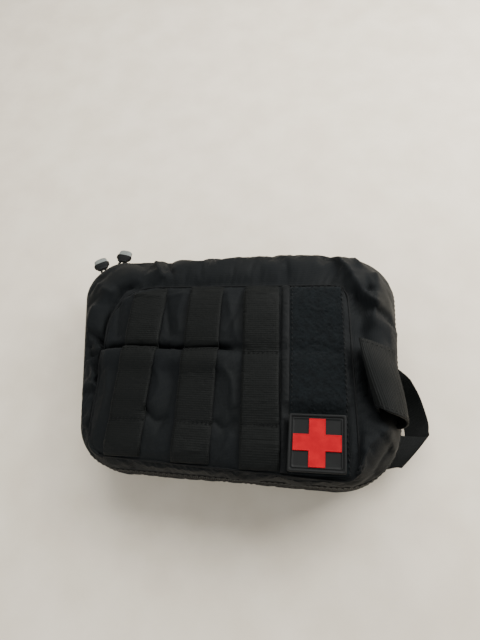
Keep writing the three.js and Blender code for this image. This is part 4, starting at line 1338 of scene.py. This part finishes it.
def bandage_roll(name, node, material, slot, layer, ragged):
    """A wound strip: its layers show as rings on the two ends, and its surface is soft."""
    low, high = node_box(node)
    centre = (low + high) / 2
    radius = (high[0] - low[0]) / 2
    half = (high[1] - low[1]) / 2
    turns = np.linspace(0, 2 * math.pi, ROLL_SIDES, endpoint=False)
    layers = [(r, 0.35 * (k % 2)) for k, r in enumerate(np.arange(2, radius - 1, layer))]
    ends = np.array([(0.5, 0.0), *layers, (radius - 0.7, 0.15), (radius - 0.15, 0.8)])
    side = np.column_stack([np.full(40, radius - 0.1), np.linspace(1.2, 2 * half - 1.2, 40)])
    profile = np.concatenate([np.column_stack([ends[:, 0], half - ends[:, 1]]),
                              np.column_stack([side[:, 0], half - side[:, 1]]),
                              np.column_stack([ends[::-1, 0], -half + ends[::-1, 1]])])
    r, y = profile[:, 0][:, None], profile[:, 1][:, None]
    soft = ragged * (np.sin(turns * 9 + y / 3) * np.sin(y / 2.1 + turns * 2))
    outside = r > radius - 0.5
    r = r + np.where(outside, soft, 0) - np.where(outside, ragged, 0)
    grid = np.stack([centre[0] + r * np.cos(turns), np.broadcast_to(centre[1] + y, r.shape),
                     centre[2] + r * np.sin(turns)], -1)
    faces = grid_faces(len(profile), ROLL_SIDES, True)
    obj = make(name, grid.reshape(-1, 3), faces, grid_uvs(grid, True))
    finish_piece(obj, material, slot, "back_half", node)


bandage_roll("crepe_roll", "crepe_bandage", CREPE, "crepe", 1.3, 0.35)
bandage_roll("gauze_roll_a", "gauze_roll_1", GAUZE, "gauze", 1.0, 0.2)
bandage_roll("gauze_roll_b", "gauze_roll_2", GAUZE, "gauze", 1.0, 0.2)

LOOP_STEPS = 260          # points along an elastic loop
LOOP_CELLS = 17           # and across it
for i in (1, 2, 3):
    low, high = node_box(f"elastic_loop_{i}")
    middle_x = (low[0] + high[0]) / 2
    radius = (high[0] - low[0]) / 2 - 0.5
    crown = high[2] - radius - 0.5
    arc = np.linspace(0, math.pi, 60)
    legs = np.linspace(low[2] + 0.3, crown, 18)[:-1]
    bend = np.column_stack([middle_x + radius * np.cos(arc), crown + radius * np.sin(arc)])
    route = np.concatenate([np.column_stack([np.full(len(legs), middle_x + radius), legs]), bend,
                            np.column_stack([np.full(len(legs), middle_x - radius), legs[::-1]])])
    route = resample(route, LOOP_STEPS)
    turn = np.gradient(route, axis=0)
    turn /= np.linalg.norm(turn, axis=1)[:, None]
    outward = np.column_stack([turn[:, 1], np.zeros(len(turn)), -turn[:, 0]])
    across = np.linspace(low[1] + 0.4, high[1] - 0.4, LOOP_CELLS)
    top = np.stack(np.broadcast_arrays(route[:, :1], across, route[:, 1:]), -1)
    normal = np.broadcast_to(outward[:, None], top.shape)
    loop = ribbed_sheet(f"elastic_band_{i}", top, normal, 0.8, ribs_along=2, rib=2.5, deep=0.15)
    finish_piece(loop, ELASTIC, "elastic_net", "back_half", f"elastic_loop_{i}")

# The tape is wound on its card core; its layers stand a little up and down on both faces.
TAPE_INNER = 13.4
low, high = node_box("tape_roll")
centre = foot_of("tape_roll")[0]
radius = (high[0] - low[0]) / 2
layers = [(r, high[2] - 0.12 * (k % 2)) for k, r in enumerate(np.arange(TAPE_INNER, radius - 0.3, 0.55))]
under_layers = [(r, low[2] + 0.12 * (k % 2)) for k, (r, _) in enumerate(layers[::-1])]
start = (TAPE_INNER, low[2] + 0.2)
profile = [start, *layers, (radius, high[2] - 0.4), (radius, low[2] + 0.4), *under_layers, start]
ring_points, ring_faces = lathe(profile, centre, ROLL_SIDES)
tape_ring = make("tape_coil", ring_points, ring_faces[:-2])
finish_piece(tape_ring, CLOTH_TAPE, "white_tape", "back_half", "tape_roll")
core_profile = [(11.6, low[2]), (13.0, low[2]), (13.0, high[2]), (12.7, high[2] + 0.1),
                (11.8, high[2] + 0.1), (11.6, high[2] - 0.1), (11.6, low[2])]
core_points, core_faces = lathe(core_profile, centre, 64)
finish_piece(make("tape_core_ring", core_points, core_faces[:-2]), CARD, "card", "back_half", "tape_core")


def pillow(name, node, material, slot, crimp=4.0, folds=0.5):
    """A sealed packet: a soft body between two crimped ends."""
    low, high = node_box(node)
    size = high - low
    thin = int(np.argmin(size))
    axes = [i for i in range(3) if i != thin]
    long_axis = axes[0] if size[axes[0]] > size[axes[1]] else axes[1]
    wide_axis = axes[1] if long_axis == axes[0] else axes[0]
    u = np.linspace(0, 1, 90)
    v = np.linspace(0, 1, 60)
    U, V = np.meshgrid(u, v, indexing="ij")
    ends = np.minimum(U, 1 - U) * size[long_axis]
    sides = np.minimum(V, 1 - V) * size[wide_axis]
    body = smoothstep(ends, crimp * 0.8, crimp + 9) * smoothstep(sides, 0.2, 8)
    body = body ** 0.5
    broad = np.sin(U * 31 + 3 * np.sin(V * 9)) * np.sin(V * 17 + 2 * U)
    fine = 0.5 * np.sin(U * 57) * np.sin(V * 23)
    wrinkle = folds * body * (broad + fine) * 0.5
    ridge = 0.14 * np.sin(ends / 1.1 * 2 * math.pi) * (ends < crimp)
    half_thick = size[thin] / 2
    height = 0.25 + (half_thick - 0.3) * body
    upper = np.minimum(height + wrinkle + ridge, half_thick)
    lower = -np.minimum(height - wrinkle * 0.4 - ridge, half_thick)
    corner_pull = 1.2 * (1 - body) * np.sin(V * math.pi)
    def surface_at(z):
        grid = np.zeros((*U.shape, 3))
        grid[..., long_axis] = low[long_axis] + U * size[long_axis] + corner_pull * np.where(U < 0.5, 1, -1)
        grid[..., wide_axis] = low[wide_axis] + V * size[wide_axis]
        grid[..., thin] = (low + size / 2)[thin] + z
        return grid
    top_grid, bottom_grid = surface_at(upper), surface_at(lower)
    total = U.size
    quads = grid_faces(*U.shape)
    if np.cross(np.eye(3)[long_axis], np.eye(3)[wide_axis])[thin] > 0:
        top_quads, bottom_quads = quads[:, ::-1], quads
    else:
        top_quads, bottom_quads = quads, quads[:, ::-1]
    rim = rim_faces(*U.shape)
    obj = make(name, np.concatenate([top_grid.reshape(-1, 3), bottom_grid.reshape(-1, 3)]),
               np.concatenate([top_quads, bottom_quads + total, rim]))
    finish_piece(obj, material, slot, "back_half", node)
    return obj


pillow("triangular_bandage_packet", "triangular_bandage", PALE_FILM, "pale_packet")
pillow("foil_blanket_packet", "foil_blanket", FOIL, "foil_packet", folds=1.2)
pillow("dressing_packet", "wound_dressing", PALE_FILM, "pale_packet", crimp=5, folds=0.4)
pillow("wipes_packet", "wipe_packets", GREEN_FILM, "green_packet", folds=0.3)
pillow("gloves_packet", "glove_packet", PALE_FILM, "pale_packet", folds=0.35)
pillow("plasters_packet", "plaster_packet", GREEN_FILM, "green_packet")

# The scissors keep their own solids and take the steel's finish.
for name in ("scissor_lower_blade", "scissor_upper_blade", "scissor_rivet"):
    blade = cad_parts[name]
    blade.data.materials.clear()
    blade.data.materials.append(STEEL)


# ---- floor, light and camera ----
# Matt painted board: pale, with a slight drift of tone.
FLOOR = grained("matt_pale_board", "ddd1bd", "e6dbc8", 0.8, 3, 0.05)
FLOOR_REACH = 2500
floor_corners = np.column_stack([corner_points(FLOOR_REACH, FLOOR_REACH), np.zeros(4)])
floor = make("floor", floor_corners, [(0, 1, 2, 3)], smooth=False)
floor.data.materials.append(FLOOR)
floor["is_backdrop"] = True


def lamp(name, place, aim, size, power, colour):
    """A soft square light aimed at a point, places in millimetres."""
    light = bpy.data.lights.new(name, "AREA")
    light.size = size * MM
    light.energy = power
    light.color = colour
    obj = bpy.data.objects.new(name, light)
    bpy.context.collection.objects.link(obj)
    obj.location = Vector(place) * MM
    obj.rotation_euler = (Vector(aim) - Vector(place)).to_track_quat("-Z", "Y").to_euler()


lamp("window", (560, 380, 520), (40, 20, 30), 520, 11.5, (1.0, 1.0, 0.985))
lamp("ceiling", (-60, 560, 760), (0, 60, 30), 700, 9.5, (1.0, 1.0, 0.98))
lamp("fill", (-500, -600, 420), (0, 0, 40), 700, 5, (0.95, 0.98, 1.0))

world = bpy.data.worlds.new("studio")
bpy.context.scene.world = world
world.use_nodes = True
background = world.node_tree.nodes["Background"]
background.inputs["Color"].default_value = hex_colour("f2f0ec")
background.inputs["Strength"].default_value = 0.35

# The camera stands over the near side, turned a little clockwise.
camera_data = bpy.data.cameras.new("camera")
camera_data.lens = 28
camera_data.sensor_width = 36
camera = bpy.data.objects.new("camera", camera_data)
bpy.context.collection.objects.link(camera)
camera_right = Vector((0.992, 0.0854, -0.0900)).normalized()
camera_back = Vector((0.1182, -0.4261, 0.897)).normalized()
camera_up = camera_back.cross(camera_right).normalized()
camera_right = camera_up.cross(camera_back)
turn = np.array([camera_right, camera_up, camera_back]).T
camera_place = (46.7, -131.5, 396)
camera_rows = [[*map(float, turn[i]), camera_place[i] * MM] for i in range(3)]
camera.matrix_world = Matrix(camera_rows + [[0, 0, 0, 1]])
bpy.context.scene.camera = camera

low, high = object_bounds()
